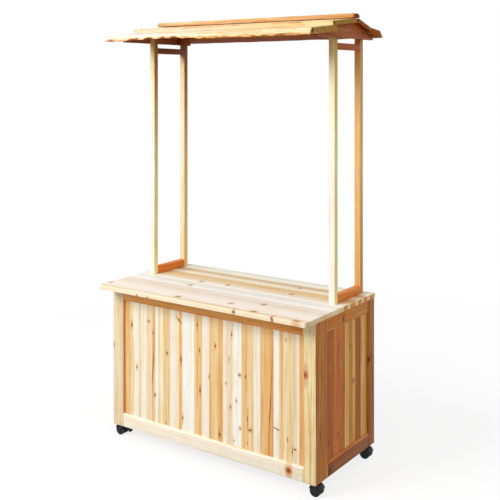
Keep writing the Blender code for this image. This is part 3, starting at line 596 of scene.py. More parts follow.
def glued_panel(node, strips, run, panel_knots, material, slot):
    """Replaces a CAD panel by strips glued edge to edge; run is the axis across the strips."""
    low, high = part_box(node)
    axis = AXIS[run]
    thin = min(range(3), key=lambda i: high[i] - low[i])
    places = []
    values = {}
    for index, (start, end, tone) in enumerate(cut_strips(low[axis], high[axis], strips)):
        place = (low + high) / 2
        place[axis] = (start + end) / 2
        places.append(tuple(place))
        size = high - low
        size[axis] = end - start
        heart = place.copy()
        behind, more, beside = STRIP_HEART
        heart[thin] += (behind + more * math.sin(index * 2.1)) * MM
        heart[axis] += beside * math.sin(index * 1.3) * MM
        own = {"strip_size": size, "strip_heart": heart, "strip_tone": linear(tone)}
        own["strip_shift"] = (index * 0.357, index * 0.219, index * 0.431)
        within = [
            knot for knot in panel_knots
            if start - KNOT_OVERLAP < knot[0][axis] < end + KNOT_OVERLAP
        ]
        within += [NO_KNOT] * STRIP_KNOTS
        for number, knot in enumerate(within[:STRIP_KNOTS]):
            for part, vector in zip(("centre", "across", "along"), knot):
                own[f"knot_{number}_{part}"] = vector
        for key, vector in own.items():
            values.setdefault(key, []).extend(vector)
    mesh = grown(node + "_strips", places, values, STRIP_TREE, {"Wood": material})
    arris = new_piece(node + "_strips", mesh, "bench", slot, node).modifiers.new("arris", "BEVEL")
    arris.width = STRIP_ARRIS
    arris.segments = 1


def build_panels():
    front = fir("fir_strips_front", grain="Z")
    ends = fir("fir_strips_ends", grain="Z", figure=1.3)
    inside = fir("fir_strips_inside", grain="X")
    glued_panel("front_panel", FRONT_STRIPS, "X", FRONT_KNOTS, front, "fir_panel")
    glued_panel("right_end_panel", END_STRIPS, "Y", END_KNOTS, ends, "fir_panel")
    glued_panel("left_end_panel", END_STRIPS[::-1], "Y", END_KNOTS[:3], ends, "fir_panel")
    glued_panel("shelf", INSIDE_STRIPS, "Y", INSIDE_KNOTS, inside, "fir_inside")
    glued_panel("floor_board", INSIDE_STRIPS[::-1], "Y", INSIDE_KNOTS[2:], inside, "fir_inside")


# Cabinet frame and post frames: planed boards with eased arrises, each with its own grain

PLANED_ARRIS = 0.8 * MM


def planed_board(node, slot, grain, tone, dark_knots=(), red_knots=(), **more):
    """Replaces a CAD board by a copy with eased arrises and its own fir."""
    seed = 1.0 + sorted(NODES).index(node)
    wood = fir("fir_" + node, node, tone, grain, dark_knots, red_knots, seed=seed, **more)
    mesh = softened_copy(node, node + "_planed", PLANED_ARRIS)
    mesh.materials.append(wood)
    new_piece(node + "_planed", mesh, "bench", slot, node)


# The boards round each end panel: their looks, and the right one's and the left one's knots. Their
# tones are partly the wood's own and partly painted shade, darker and more saturated for the end's
# shaded side, and their bevel tones are painted light and shade
END_FRAMES = {
    "front_stile": (
        {"grain": "Z", "tone": "D2974A", "figure": 2.0}, [(-235, 264, 2, 12)], [(-240, 600, 5, 9)],
    ),
    "rear_stile": (
        {"grain": "Z", "tone": "B97F39", "figure": 2.0},
        [(225, 473, 7, 11, -30)], [(240, 300, 6, 10)],
    ),
    "top_rail": (
        {"grain": "Y", "tone": "DC993D", "bevel_tone": "ECBA72", "figure": 1.3},
        # The right top rail's two dark marks stand for counterbored bolt holes: their dark is
        # painted shade in the holes, drawn with the knot marks
        [(-30, 721, 7, 8), (209, 719, 6, 8)], [(60, 728, 9, 7)],
    ),
    "bottom_rail": (
        {"grain": "Y", "tone": "A66A36", "bevel_tone": "DE9450", "figure": 1.3},
        [(-153, 82, 16, 11), (220, 87, 9, 8)], [(-60, 92, 11, 8)],
    ),
}
# Each post's tone on its front and on its sides, changing with height in mm. Besides the wood's own
# tone these hold painted shade: the sides differ from the fronts as they turn from the light, and
# both darken towards the roof, where its shade falls
POST_TONES_AND_SHADE = {
    "right_front_post": (
        [(780, "FFFEF4"), (1500, "FFFCEC"), (1850, "FFF4CC"), (1950, "FFEAB0"), (2055, "F8CC7C")],
        [(780, "FAECAA"), (1400, "FEF4B4"), (1850, "DCCA68"), (2055, "B89C48")],
    ),
    "right_rear_post": (
        [(780, "EFBB76"), (1400, "F6C888"), (1850, "FCC476"), (1950, "FFB060"), (2055, "FA9048")],
        [(780, "CC9C60"), (1400, "E4D090"), (2055, "BC985A")],
    ),
    "left_front_post": (
        [(780, "F0F6EE"), (1500, "EEFAF0"), (1900, "F2EAB8"), (2055, "F0CC80")],
        [(780, "FFF4B0"), (1400, "FFF0B0"), (1850, "D89E50"), (2055, "A87434")],
    ),
    "left_rear_post": (
        [(780, "F4EAC4"), (1400, "F3F2DC"), (1880, "F2DEAE"), (1960, "C07A46"), (2055, "B4683C")],
        [(780, "FFE088"), (1400, "FFCE7E"), (1850, "BC7A40"), (2055, "8E5226")],
    ),
}
FOOT_RAIL_TONES = {"left": "F8933C", "right": "EB9740"}
# The head rails' dark tones are partly the wood's own and partly painted shade under the roof
HEAD_RAIL_TONES_AND_SHADE = {"left": "96542A", "right": "B65E1F"}


def build_frames():
    frame_slot = "fir_frame"
    # The stiles' sides, in the panel's reveal and at the corner, take a darker tone: painted shade
    shaded_stile_sides = ("X", "C98A44")
    planed_board(
        "front_left_stile", frame_slot, "Z", "F4E3C2", knots("front", (-592, 462, 4, 7)),
        turned=shaded_stile_sides,
    )
    planed_board(
        "front_right_stile", frame_slot, "Z", "F9ECBF", (), knots("front", (541, 528, 15, 19)),
        turned=shaded_stile_sides, figure=1.5,
    )
    # The top rail's orange is partly its own tone and partly the painted warm shade that the
    # worktop's overhang casts on it; its bevel tone is painted shade
    planed_board("front_top_rail", frame_slot, "X", "FFC070", bevel_tone="FFAC64", figure=1.3)
    planed_board(
        "front_bottom_rail", frame_slot, "X", "FEF6E4", knots("front", (457, 91, 6, 5)),
        knots("front", (457, 94, 17, 14)),
    )
    for number, side in enumerate(("right", "left")):
        for part, (looks, *both) in END_FRAMES.items():
            own_knots = knots("end", *both[number])
            planed_board(f"{side}_end_{part}", frame_slot, dark_knots=own_knots, **looks)
    back_knots = knots("front", (-210, 727, 10, 7), (350, 715, 7, 5))
    planed_board("back_top_rail", "fir_inside", "X", "EBCB98", back_knots)
    planed_board("back_bottom_rail", "fir_inside", "X", "E4BE86", knots("front", (120, 92, 12, 8)))
    # The posts' tones paint the shade on their sides and under the roof
    for node, (front, sides) in POST_TONES_AND_SHADE.items():
        turned = ("X", ("Z", "fading", sides))
        planed_board(node, "fir_posts", "Z", ("Z", "fading", front), turned=turned, figure=0.6)
    for side in ("left", "right"):
        planed_board(side + "_shelf_cleat", "fir_inside", "Y", "DDB27C")
        planed_board(side + "_foot_rail", "fir_posts", "Y", FOOT_RAIL_TONES[side])
        planed_board(side + "_head_rail", "fir_posts", "Y", HEAD_RAIL_TONES_AND_SHADE[side])
        gable_knots = knots("end", (20, 2060, 8, 5), (190, 2020, 6, 5))
        planed_board(side + "_gable_board", "fir_gable", "Y", "B66D2A", gable_knots, figure=2.0)


# Boards skinned along the bench


def eased_outline(corners, radii, steps=3):
    """A closed outline of (y, z, corner number) points with each (y, z) corner rounded."""
    points = []
    count = len(corners)
    for i, corner in enumerate(corners):
        corner = Vector(corner)
        before = Vector(corners[i - 1]) - corner
        after = Vector(corners[(i + 1) % count]) - corner
        reach = min(radii[i], before.length * 0.45, after.length * 0.45)
        first = corner + before.normalized() * reach
        last = corner + after.normalized() * reach
        for step in range(steps + 1):
            t = step / steps
            point = first * (1 - t) ** 2 + corner * (2 * t * (1 - t)) + last * t**2
            points.append((point.x, point.y, i))
    return points


def loft_along_bench(name, sections, bark=None):
    """A closed board skinned over (x, outline) sections from left to right. bark gives how much of
    it is left at each corner of the outline."""
    bm = bmesh.new()
    layer = bm.verts.layers.float.new("bark")
    rings = []
    for x, outline in sections:
        rings.append([bm.verts.new((x, y, z)) for y, z, _ in outline])
        for vertex, (_, _, corner) in zip(rings[-1], outline):
            vertex[layer] = bark[corner] if bark else 0.0
    return skinned(bm, name, rings, 38)


def stations(low, high, step, easing):
    """Places along a board, with more of them where its ends are eased."""
    first, last = low + easing, high - easing
    count = max(2, round((last - first) / step))
    middle = [first + (last - first) * i / count for i in range(count + 1)]
    turns = [easing * (1 - math.cos(math.radians(90) * k / 6)) for k in range(6)]
    return [low + turn for turn in turns] + middle + [high - turn for turn in reversed(turns)]


def rounding(distance, radius):
    """How far an edge stands back at a distance from the end, for a corner of that radius."""
    left = max(0.0, radius - max(0.0, distance))
    return radius - math.sqrt(max(0.0, radius**2 - left**2))


TOP_ARRIS = 3.0 * MM
BOTTOM_ARRIS = 1.5 * MM
END_ARRIS = 1.5 * MM
PLAIN_STEP = 60 * MM
# Plan radii of a worktop board's front and rear corners
FRONT_BOARD_CORNERS = (14 * MM, 4 * MM)
OTHER_BOARD_CORNERS = (5 * MM, 5 * MM)


def worktop_board(node, front_corner, rear_corner, material):
    """A worktop board with eased edges and plan corners of the given radii."""
    low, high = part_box(node)
    easing = max(front_corner, rear_corner)
    sections = []
    for x in stations(low.x, high.x, PLAIN_STEP, easing):
        distance = min(x - low.x, high.x - x)
        inset = rounding(distance, END_ARRIS)
        y0 = low.y + max(inset, rounding(distance, front_corner))
        y1 = high.y - max(inset, rounding(distance, rear_corner))
        z0 = low.z + inset
        z1 = high.z - inset
        corners = [(y0, z0), (y1, z0), (y1, z1), (y0, z1)]
        radii = [BOTTOM_ARRIS, BOTTOM_ARRIS, TOP_ARRIS, TOP_ARRIS]
        sections.append((x, eased_outline(corners, radii)))
    mesh = loft_along_bench(node + "_planed", sections)
    mesh.materials.append(material)
    new_piece(node + "_planed", mesh, "bench", "fir_worktop", node)


# Strips about 35 mm wide across each wide board: where each starts in mm, and its tone. Besides the
# wood's own tones, each board darkens towards its joints with its neighbours: painted shade
WORKTOP_STRIPS = {
    "worktop_front_board": [
        (-372, "EADCC4"), (-338, "F3EAE2"), (-300, "F5ECE4"), (-262, "F2E7DC"), (-225, "EEE0CE"),
        (-190, "F2E7DA"), (-150, "FFFBF8"), (-103, "F4F0E8"), (-73, "E6E2D4"),
    ],
    "worktop_inner_board": [
        (-72, "ECEAE0"), (-54, "FFFFFA"), (-32, "F6EAD8"), (-8, "F6E4C2"), (16, "F0D6AA"),
        (41, "E0C090"),
    ],
    "worktop_middle_board": [
        (43, "E6CC98"), (80, "F6E2BE"), (98, "FFF4DE"), (131, "E8D2B0"), (156, "D0B78F"),
    ],
    "worktop_rear_board": [
        (157, "DAC09A"), (178, "F8E8CA"), (192, "FFFFEE"), (240, "F4F2E6"), (270, "ECE8DA"),
    ],
}
# The strips' sawn ends are darker and paler in turn
SAWN_ENDS = {
    "worktop_inner_board": [
        (-72, "FCECD2"), (-40, "DCB07E"), (-6, "FFF2DA"), (20, "E8B46E"), (41, "E0AC68"),
    ],
    "worktop_middle_board": [
        (43, "F2B86E"), (70, "FFF4DA"), (98, "E0A664"), (127, "FFF0D2"), (156, "D8A45E"),
    ],
    "worktop_rear_board": [
        (157, "E8B270"), (186, "FFF4D8"), (214, "E6AE6C"), (240, "FAE2AE"), (270, "F0D6A2"),
    ],
}
WORKTOP_KNOTS = {
    "worktop_front_board": knots(
        "top", (-592, -298, 9, 6), (-126, -329, 13, 5), (-222, -116, 9, 6),
        (153, -286, 11, 4, 15), (288, -217, 11, 5), (318, -341, 14, 5), (552, -360, 16, 4),
    )
    + knots(
        "front", (228, 773, 7, 5), (-350, 763, 4, 3), (-281, 763, 3, 3), at=-370, depth=14
    ),
    "worktop_inner_board": knots("top", (-224, -26, 10, 5), (-69, -9, 9, 5), (290, 14, 10, 4)),
    "worktop_middle_board": knots("top", (260, 138, 9, 5)),
    "worktop_rear_board": (),
}
ORANGE_MARK = knots("front", (432, 772, 7, 13, 20), at=-366, depth=30)


def build_worktop():
    for number, (node, strips) in enumerate(WORKTOP_STRIPS.items()):
        front = node not in SAWN_ENDS
        turned = ("Y", "FFEED2") if front else ("X", ("Y", "strips", SAWN_ENDS[node]))
        wood = fir(
            "fir_" + node, node, ("Y", "strips", strips), "X", WORKTOP_KNOTS[node],
            ORANGE_MARK if front else (), turned=turned, seed=40.0 + number, figure=0.7,
        )
        worktop_board(node, *(FRONT_BOARD_CORNERS if front else OTHER_BOARD_CORNERS), wood)


# Roof boards

AT_THE_END = 0.1 * MM      # points this near a board's end are the end's own
WAVE_STEP = 7 * MM
# Lengths over which a natural edge runs in and out, slowly and in ripples
FRONT_WAVE, FRONT_RIPPLE = 150 * MM, 70 * MM
REAR_WAVE, REAR_RIPPLE = 130 * MM, 80 * MM
ROOF_END_ARRIS = 1 * MM
SCALLOP = 92 * MM          # from one bite in the front eave to the next
SCALLOP_DRIFT = 170 * MM   # over this length the bites fall out of step
# The deep bites lie between these places along the bench, and fade in and out over these lengths
DEEP_BITES = (-500 * MM, 20 * MM)
BITES_FADE = (160 * MM, 140 * MM)


def end_outline(node):
    """The (y, z) corners of a roof board's sawn end, counter-clockwise from the front lower one."""
    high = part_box(node)[1]
    ends = {
        (round(v.co.y, 5), round(v.co.z, 5))
        for v in NODES[node].data.vertices
        if v.co.x > high.x - AT_THE_END
    }
    centre = Vector((sum(p[0] for p in ends), sum(p[1] for p in ends))) / len(ends)
    around = sorted(ends, key=lambda p: math.atan2(p[1] - centre.y, p[0] - centre.x))
    return [Vector(p) for p in around]


def wave(x, seed, length, depth):
    """How far a natural edge stands back at a place along it, from 0 to depth."""
    slow = noise.noise((x / length, seed, 0.0))
    quick = noise.noise((x / (length * 0.33), seed + 9.7, 0.0))
    return depth * min(1.0, max(0.0, 0.5 + 0.8 * slow + 0.15 * quick))


def scallop(x, seed):
    """Shallow bites in a natural edge, deepest left of the middle, where a side branch grew."""
    turns = x / SCALLOP + 0.6 * noise.noise((x / SCALLOP_DRIFT, seed, 3.0))
    bite = 0.5 - 0.5 * math.cos(2 * math.pi * turns)
    rise = min(1.0, max(0.0, (x - DEEP_BITES[0]) / BITES_FADE[0]))
    fall = min(1.0, max(0.0, (DEEP_BITES[1] - x) / BITES_FADE[1]))
    return 0.08 * bite + rise * fall * (0.45 + 0.4 * bite)


def roof_board(node, tone, front_wane, rear_wane, bark, seed, dark_end_spots=(), scalloped=0.0):
    """A sawn roof board whose natural edges run in and out by up to the wane's depth, and whose
    lower front corner is bitten away by up to the scallops' share of its front face. bark is how
    much of it is left at the lower front and lower rear corners."""
    low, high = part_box(node)
    lower_front, lower_rear, upper_rear, upper_front = end_outline(node)
    slope = (lower_rear - lower_front).normalized()
    sections = []
    for x in stations(low.x, high.x, WAVE_STEP, ROOF_END_ARRIS):
        inset = rounding(min(x - low.x, high.x - x), ROOF_END_ARRIS)
        front = wave(x, seed, FRONT_WAVE, front_wane)
        rear = wave(x, seed + 5.2, REAR_WAVE, rear_wane)
        front_ripple = wave(x, seed + 3.1, FRONT_RIPPLE, front_wane * 0.4)
        rear_ripple = wave(x, seed + 7.7, REAR_RIPPLE, rear_wane * 0.5)
        front_top = upper_front + slope * (front * 0.7 + front_ripple)
        front_low = lower_front + slope * (front + inset)
        front_low += (front_top - front_low) * scalloped * scallop(x, seed)
        rear_low = lower_rear - slope * (rear + inset)
        rear_top = upper_rear - slope * (rear + rear_ripple + inset)
        corners = [front_low, rear_low, rear_top, front_top + slope * inset]
        lower = [1 * MM + front * 0.1, 1 * MM + rear * 0.12]
        radii = lower + [2 * MM + rear * 0.3, 2 * MM + front * 0.2]
        sections.append((x, eased_outline(corners, radii, 4)))
    mesh = loft_along_bench(node + "_waney", sections, [*bark, 0.1, 0.1])
    # The undersides' darker tone is painted shade
    wood = fir(
        "fir_" + node, node, tone, "X", dark_end_spots, underside_shade="B47C44", end_soak_and_shade=END_GRAIN_AND_SHADE,
        seed=seed * 10, waney=True, figure=1.3, roughness=0.6,
    )
    mesh.materials.append(wood)
    new_piece(node + "_waney", mesh, "bench", "fir_roof", node)


RIDGE_END_ARRIS = 4 * MM
RIDGE_SHOULDER = 6 * MM     # how far the slab's sides stop short of its top
RIDGE_ROUND = 12 * MM       # how far in from each side its top starts
RIDGE_WAVE, RIDGE_SWELL = 90 * MM, 120 * MM    # its sides and its top run in and out over these
RIDGE_WANE, RIDGE_DIP = 2.5 * MM, 0.8 * MM     # and by at most this much


def ridge_cap(node):
    """A thick half-round slab over the ridge."""
    low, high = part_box(node)
    sections = []
    for x in stations(low.x, high.x, WAVE_STEP, RIDGE_END_ARRIS):
        inset = rounding(min(x - low.x, high.x - x), RIDGE_END_ARRIS)
        front = low.y + wave(x, 21.0, RIDGE_WAVE, RIDGE_WANE) + inset
        rear = high.y - wave(x, 27.0, RIDGE_WAVE, RIDGE_WANE) - inset
        top = high.z - wave(x, 31.0, RIDGE_SWELL, RIDGE_DIP) - inset * 0.6
        bottom = low.z + inset * 0.2
        shoulder = top - RIDGE_SHOULDER
        corners = [(front, bottom), (rear, bottom), (rear, shoulder), (rear - RIDGE_ROUND, top)]
        corners += [(front + RIDGE_ROUND, top), (front, shoulder)]
        radii = [1.5 * MM, 1.5 * MM, 5 * MM, 6 * MM, 6 * MM, 5 * MM]
        sections.append((x, eased_outline(corners, radii, 4)))
    mesh = loft_along_bench(node + "_half_round", sections, [0.3, 0.3, 0.2, 0.0, 0.0, 0.2])
    # A dark spot on the ridge cap's sawn end, drawn with the knot marks
    dark_end = knots("end", (93, 2101, 18, 9), at=597, depth=7)
    tone = ("X", "fading", [(-597, "C6B690"), (-440, "DCBE94"), (0, "DEBC92"), (597, "D8A874")])
    wood = fir("fir_" + node, node, tone, "X", dark_end, seed=650.0, waney=True, figure=1.4)
    mesh.materials.append(wood)
    new_piece(node + "_half_round", mesh, "bench", "fir_roof", node)


def build_roof():
    slab = ("X", "fading", [(-597, "F4E2DA"), (-150, "F2DCCA"), (120, "F0DABC"), (597, "EEDCB4")])
    board = ("X", "fading", [(-597, "F0D8C6"), (-150, "ECD0B4"), (150, "EED4AE"), (597, "EEDCAC")])
    # A dark spot at the front corner of each board's sawn end, drawn with the knot marks
    slab_end = knots("end", (-306, 2013, 7, 7), at=597, depth=6)
    board_end = knots("end", (-119, 2058, 6, 8), at=597, depth=6)
    roof_board("roof_front_eave_slab", slab, 8 * MM, 0.0, (1.35, 0.0), 2.3, slab_end, 0.45)
    roof_board("roof_front_board", board, 1.5 * MM, 0.0, (1.0, 0.0), 4.1, board_end)
    roof_board("roof_rear_board", "D8A468", 0.0, 2 * MM, (0.0, 0.4), 6.4)
    roof_board("roof_rear_eave_slab", "DC9E5A", 0.0, 16 * MM, (0.0, 1.0), 8.8)
    ridge_cap("roof_ridge_cap")


# Screws, made by Geometry Nodes

HEAD_SIDES = 20
HEAD_TAPER = 0.55      # a head's radius where it meets the shank, as a share of its full radius
RECESS_SPAN = 1.15     # the cross recess from arm to arm, as a share of the head's radius
ROOF_HEAD, CLEAT_HEAD, PLATE_HEAD = 4.0 * MM, 3.5 * MM, 2.6 * MM    # radii of the screws' heads


def screw_tree():
    """Geometry Nodes: a countersunk cross-recess head on each point, turned to its normal."""
    sizes = dict.fromkeys(("Head Radius", "Head Depth", "Recess Width", "Recess Depth"), "Float")
    sockets = {"Places": "Geometry", **sizes, "Steel": "Material"}
    tree, given = node_tree("countersunk_screws", "Screws", sockets)
    point = add_node(tree, "Math", (given["Head Radius"], HEAD_TAPER), operation="MULTIPLY")
    inputs = {"Vertices": HEAD_SIDES, "Radius Top": given["Head Radius"], "Radius Bottom": point}
    inputs["Depth"] = given["Head Depth"]
    head = add_node(tree, "GeometryNodeMeshCone", inputs)
    below = add_node(tree, "Math", (given["Head Depth"], -1.0), operation="MULTIPLY")
    sunk = add_node(tree, "CombineXYZ", {2: below})
    head = add_node(tree, "GeometryNodeTransform", {"Geometry": head, "Translation": sunk})
    long = add_node(tree, "Math", (given["Head Radius"], RECESS_SPAN), operation="MULTIPLY")
    depth = add_node(tree, "Math", (given["Recess Depth"], 2.0), operation="MULTIPLY")
    for arm in ((long, given["Recess Width"], depth), (given["Recess Width"], long, depth)):
        size = add_node(tree, "CombineXYZ", arm)
        block = add_node(tree, "GeometryNodeMeshCube", {"Size": size})
        inputs = {"Mesh 1": head, "Mesh 2": block}
        head = add_node(tree, "GeometryNodeMeshBoolean", inputs, operation="DIFFERENCE")
    name = {"Name": "outward"}
    outward = add_node(tree, "GeometryNodeInputNamedAttribute", name, data_type="FLOAT_VECTOR")
    turn = add_node(tree, "FunctionNodeAlignRotationToVector", {"Vector": outward}, axis="Z")
    spin = add_node(tree, "GeometryNodeInputNamedAttribute", {"Name": "spin"}, data_type="FLOAT")
    spin = add_node(tree, "CombineXYZ", {2: spin})
    own_turn = add_node(tree, "FunctionNodeEulerToRotation", (spin,))
    inputs = {"Points": given["Places"], "Instance": head, "Rotation": turn}
    heads = add_node(tree, "GeometryNodeInstanceOnPoints", inputs)
    inputs = {"Instances": heads, "Rotation": own_turn, "Local Space": True}
    spun = add_node(tree, "GeometryNodeRotateInstances", inputs)
    solid = add_node(tree, "GeometryNodeRealizeInstances", (spun,))
    inputs = {"Geometry": solid, "Material": given["Steel"]}
    add_node(tree, "NodeGroupOutput", (add_node(tree, "GeometryNodeSetMaterial", inputs),))
    return tree


SCREW_TREE = screw_tree()


def screws(name, places, radius, steel):
    """A group of countersunk screws at (point, outward direction) places."""
    attributes = {
        "outward": [part for _, direction in places for part in direction],
        "spin": [index * 0.83 for index in range(len(places))],
    }
    values = {
        "Head Radius": radius,
        "Head Depth": radius * 0.5,
        "Recess Width": radius * 0.3,
        "Recess Depth": radius * 0.35,
        "Steel": steel,
    }
    mesh = grown(name, [tuple(point) for point, _ in places], attributes, SCREW_TREE, values)
    new_piece(name, mesh, "bench", "caster_plate")


PROUD = 0.15 * MM             # a head stands this far off its seat
PLATE_HOLE = 14.5 * MM        # from a caster plate's middle to its holes, each way
PLATE_THICKNESS = 2.5 * MM
RIDGE_SINK = 0.6 * MM         # how far a ridge screw sits below the slab's highest line
# Where the screws go across each roof board, as shares of its slope
ROOF_SCREWS = {
    "roof_front_eave_slab": (0.35, 0.62),
    "roof_front_board": (0.30, 0.75),
    "roof_rear_board": (0.45, 0.75),
    "roof_rear_eave_slab": (0.25, 0.50),
}


def build_screws(steel):
    """Roof boards to the gables, shelf cleats to the end frames, caster plates to the rails."""
    roof_places = []
    for side in ("left", "right"):
        low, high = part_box(side + "_gable_board")
        x = (low.x + high.x) / 2
        for node, shares in ROOF_SCREWS.items():
            _, _, upper_rear, upper_front = end_outline(node)
            slope = upper_rear - upper_front
            normal = Vector((0.0, -slope.y, slope.x)).normalized()
            for share in shares:
                on_top = upper_front + slope * share
                roof_places.append((Vector((x, on_top.x, on_top.y)), normal))
        low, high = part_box("roof_ridge_cap")
        crest = Vector((x, (low.y + high.y) / 2, high.z - RIDGE_SINK))
        roof_places.append((crest, Vector((0, 0, 1))))
    roof_places = [(point + normal * PROUD, normal) for point, normal in roof_places]
    screws("roof_screws", roof_places, ROOF_HEAD, steel)
    cleat_places = []
    for side, way in (("left", 1), ("right", -1)):
        low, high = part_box(side + "_shelf_cleat")
        x = (high.x if way > 0 else low.x) + way * PROUD
        for share in (0.08, 0.5, 0.92):
            y = low.y + (high.y - low.y) * share
            cleat_places.append((Vector((x, y, (low.z + high.z) / 2)), Vector((way, 0, 0))))
    screws("cleat_screws", cleat_places, CLEAT_HEAD, steel)
    plate_places = []
    for node in NODES:
        if node.endswith("_caster_plate"):
            low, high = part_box(node)
            centre = (low + high) / 2
            z = high.z - PLATE_THICKNESS - PROUD
            for x in (centre.x - PLATE_HOLE, centre.x + PLATE_HOLE):
                for y in (centre.y - PLATE_HOLE, centre.y + PLATE_HOLE):
                    plate_places.append((Vector((x, y, z)), Vector((0, 0, -1))))
    screws("caster_plate_screws", plate_places, PLATE_HEAD, steel)


# Casters

WHEEL_STEPS = 96
WHEEL_SPOKES = 6
TREAD_EDGE = 2.2 * MM
TREAD_GROOVE = 0.5 * MM
DISH = 1.4 * MM          # how deep the wheel's face is dished between its rim and its hub


def wheel_mesh(name, low, high, outward):
    """A moulded wheel with a rounded, grooved tread, a dished face, spokes and a hub cap."""
    radius = (high.z - low.z) / 2
    width = high.y - low.y
    centre = (low + high) / 2
    inner = low.y if outward > 0 else high.y
    edge = TREAD_EDGE
    # The section, from the bore out over the tread to the hub cap: radius, place across, spoked
    profile = [(3.4 * MM, 0.3 * MM, 0), (8 * MM, 0.3 * MM, 0), (radius - edge - 1 * MM, 0.0, 0)]
    turns = [math.radians(22.5 * step) for step in range(5)]
    for turn in turns:
        profile.append((radius - edge + edge * math.sin(turn), edge * (1 - math.cos(turn)), 0))
    for share in (0.35, 0.65):
        for reach, depth in ((-0.8, 0.0), (-0.35, TREAD_GROOVE), (0.35, TREAD_GROOVE), (0.8, 0.0)):
            profile.append((radius - depth, width * share + reach * MM, 0))
    for turn in turns:
        across = width - edge * (1 - math.sin(turn))
        profile.append((radius - edge + edge * math.cos(turn), across, 0))
    profile += [
        (radius - 4.0 * MM, width, 0),
        (radius - 4.8 * MM, width - DISH * 0.8, 0),
        (radius - 5.4 * MM, width - DISH, 1),
        (radius - 8.5 * MM, width - DISH, 1),
        (11.2 * MM, width - DISH, 1),
        (9.6 * MM, width - DISH, 1),
        (8.8 * MM, width - DISH * 0.7, 0),
        (7.8 * MM, width - 0.15 * MM, 0),
        (6.0 * MM, width - 0.05 * MM, 0),
        (3.0 * MM, width, 0),
    ]
    bm = bmesh.new()
    rings = []
    for reach, across, spoked in profile:
        rings.append([])
        for step in range(WHEEL_STEPS):
            angle = 2 * math.pi * step / WHEEL_STEPS
            swell = math.cos(WHEEL_SPOKES * angle) if spoked else 0.0
            raised = 0.75 * DISH * min(1.0, max(0.0, (swell - 0.72) / 0.14))
            y = inner + outward * (across + raised)
            x = centre.x + reach * math.cos(angle)
            z = centre.z + reach * math.sin(angle)
            rings[-1].append(bm.verts.new((x, y, z)))
    return skinned(bm, name, rings, 40)


HOOD_ARRIS = 0.5 * MM
PEDAL_ARRIS = 0.8 * MM


def build_casters(nylon, plate_steel):
    bodies = frame["record"]["behaviour"]["bodies"]
    body_of = {node: body for body, members in bodies.items() for node in members}
    for node in sorted(NODES):
        name = node + "_moulded"
        if node.endswith("_caster_plate"):
            NODES[node].material_slots[0].material = plate_steel
            continue
        if "_caster_wheel_" in node:
            low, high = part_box(node)
            pair = [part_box(node[:-1] + side) for side in "ab"]
            middle = (min(p[0].y for p in pair) + max(p[1].y for p in pair)) / 2
            outward = 1 if (low.y + high.y) / 2 > middle else -1
            mesh = wheel_mesh(name, low, high, outward)
        elif node.endswith("_caster_hood"):
            mesh = softened_copy(node, name, HOOD_ARRIS)
        elif node.endswith("_brake_pedal"):
            mesh = softened_copy(node, name, PEDAL_ARRIS)
        else:
            continue
        mesh.materials.append(nylon)
        new_piece(name, mesh, body_of[node], "caster_nylon", node)


# Stage

WORLD_FILL = 0.50


def white_rays(tree):
    """1 for the rays that see the background: from the camera, in a gloss or through glass."""
    rays = add_node(tree, "LightPath").node.outputs
    inputs = (rays["Is Camera Ray"], rays["Is Glossy Ray"])
    seen = add_node(tree, "Math", inputs, operation="MAXIMUM")
    return add_node(tree, "Math", (seen, rays["Is Transmission Ray"]), operation="MAXIMUM")


FLOOR_REACH = 14.0
FLOOR_FADE = 1.2, 4.0     # the floor turns to white between these distances, in metres
FLOOR_GLOW = 0.81
WHITE = (1.0, 1.0, 1.0, 1.0)
SHADED = (0.20, 0.20, 0.20, 1.0)    # the part of the floor's white that a shadow takes away
BOUNCE = (0.40, 0.38, 0.36, 1.0)    # what the floor throws back on the bench


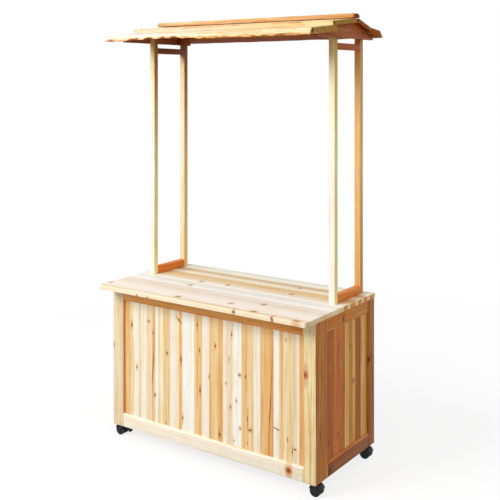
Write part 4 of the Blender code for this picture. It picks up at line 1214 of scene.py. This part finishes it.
def build_floor():
    """A plain pale floor that keeps the bench's shadow and turns to white a few metres away."""
    material, tree, shader, place = new_material("pale_floor")
    tree.nodes.remove(shader)
    away = add_node(tree, "VectorMath", (place,), 1, operation="LENGTH")
    inputs = {"Value": away, "From Min": FLOOR_FADE[0], "From Max": FLOOR_FADE[1]}
    faded = add_node(tree, "MapRange", inputs, interpolation_type="SMOOTHSTEP")
    lit = add_node(tree, "BsdfDiffuse", {"Color": SHADED})
    glow = add_node(tree, "Emission", {"Color": WHITE, "Strength": FLOOR_GLOW})
    near = add_node(tree, "AddShader", (lit, glow))
    far = add_node(tree, "Emission", {"Color": WHITE, "Strength": 1.0})
    white = add_node(tree, "MixShader", (faded, near, far))
    plain = add_node(tree, "BsdfDiffuse", {"Color": BOUNCE})
    surface = add_node(tree, "MixShader", (white_rays(tree), plain, white))
    tree.links.new(surface, tree.nodes["Material Output"].inputs["Surface"])
    mesh = bpy.data.meshes.new("floor")
    corners = [(-1, -1), (1, -1), (1, 1), (-1, 1)]
    corners = [(x * FLOOR_REACH, y * FLOOR_REACH, 0.0) for x, y in corners]
    mesh.from_pydata(corners, [], [(0, 1, 2, 3)])
    mesh.materials.append(material)
    linked("floor", mesh)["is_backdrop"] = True


def build_world():
    """White behind the bench, and an even soft fill on it."""
    world = bpy.data.worlds.new("studio")
    world.use_nodes = True
    bpy.context.scene.world = world
    tree = world.node_tree
    background = tree.nodes["Background"]
    inputs = {"Value": white_rays(tree), "To Min": WORLD_FILL, "To Max": 1.0}
    tree.links.new(add_node(tree, "MapRange", inputs), background.inputs["Strength"])
    background.inputs["Color"].default_value = WHITE


LIGHTS_AIM = Vector((0.0, 0.0, 0.9))


def softbox(name, azimuth, elevation, distance, size, level):
    """A square studio light aimed at the bench. level is the brightness it gives a white surface
    that faces it. Azimuth 0 is in front of the bench, and positive is to its right."""
    around = math.radians(azimuth)
    up = math.radians(elevation)
    level_way = Vector((math.sin(around), -math.cos(around), 0.0))
    direction = level_way * math.cos(up) + Vector((0.0, 0.0, math.sin(up)))
    light = bpy.data.lights.new(name, "AREA")
    light.shape = "SQUARE"
    light.size = size
    light.energy = level * math.pi**2 * distance**2
    lamp = linked(name, light)
    lamp.location = LIGHTS_AIM + direction * distance
    lamp.rotation_euler = direction.to_track_quat("Z", "Y").to_euler()


def build_camera():
    """A standing person's view from the bench's right front."""
    data = bpy.data.cameras.new("camera")
    data.lens = 61.84
    data.sensor_width = 36.0
    data.shift_y = -0.336
    camera = linked("camera", data)
    camera.location = (2.4749, -3.4481, 1.793)
    camera.rotation_euler = (math.radians(90), 0.0, 0.6113)
    bpy.context.scene.camera = camera


build_panels()
build_frames()
build_worktop()
build_roof()
build_screws(zinc_plated_steel("zinc_plated_steel_screws", "C4BFAE", 0.30))
build_casters(moulded_nylon(), zinc_plated_steel("zinc_plated_steel_pressed", "B9BDC2", 0.34))
build_floor()
build_world()
softbox("key_light", -24, 33, 6.0, 2.4, 0.74)
softbox("overhead_light", 0, 80, 5.0, 3.0, 0.20)
softbox("side_fill", 100, 15, 6.0, 3.0, 0.13)
build_camera()
bpy.context.scene.view_settings.view_transform = "Standard"

sizes = {"cad": CAD_BOUNDS, "visual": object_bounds()}
sizes = {key: [list(map(float, corner)) for corner in box] for key, box in sizes.items()}
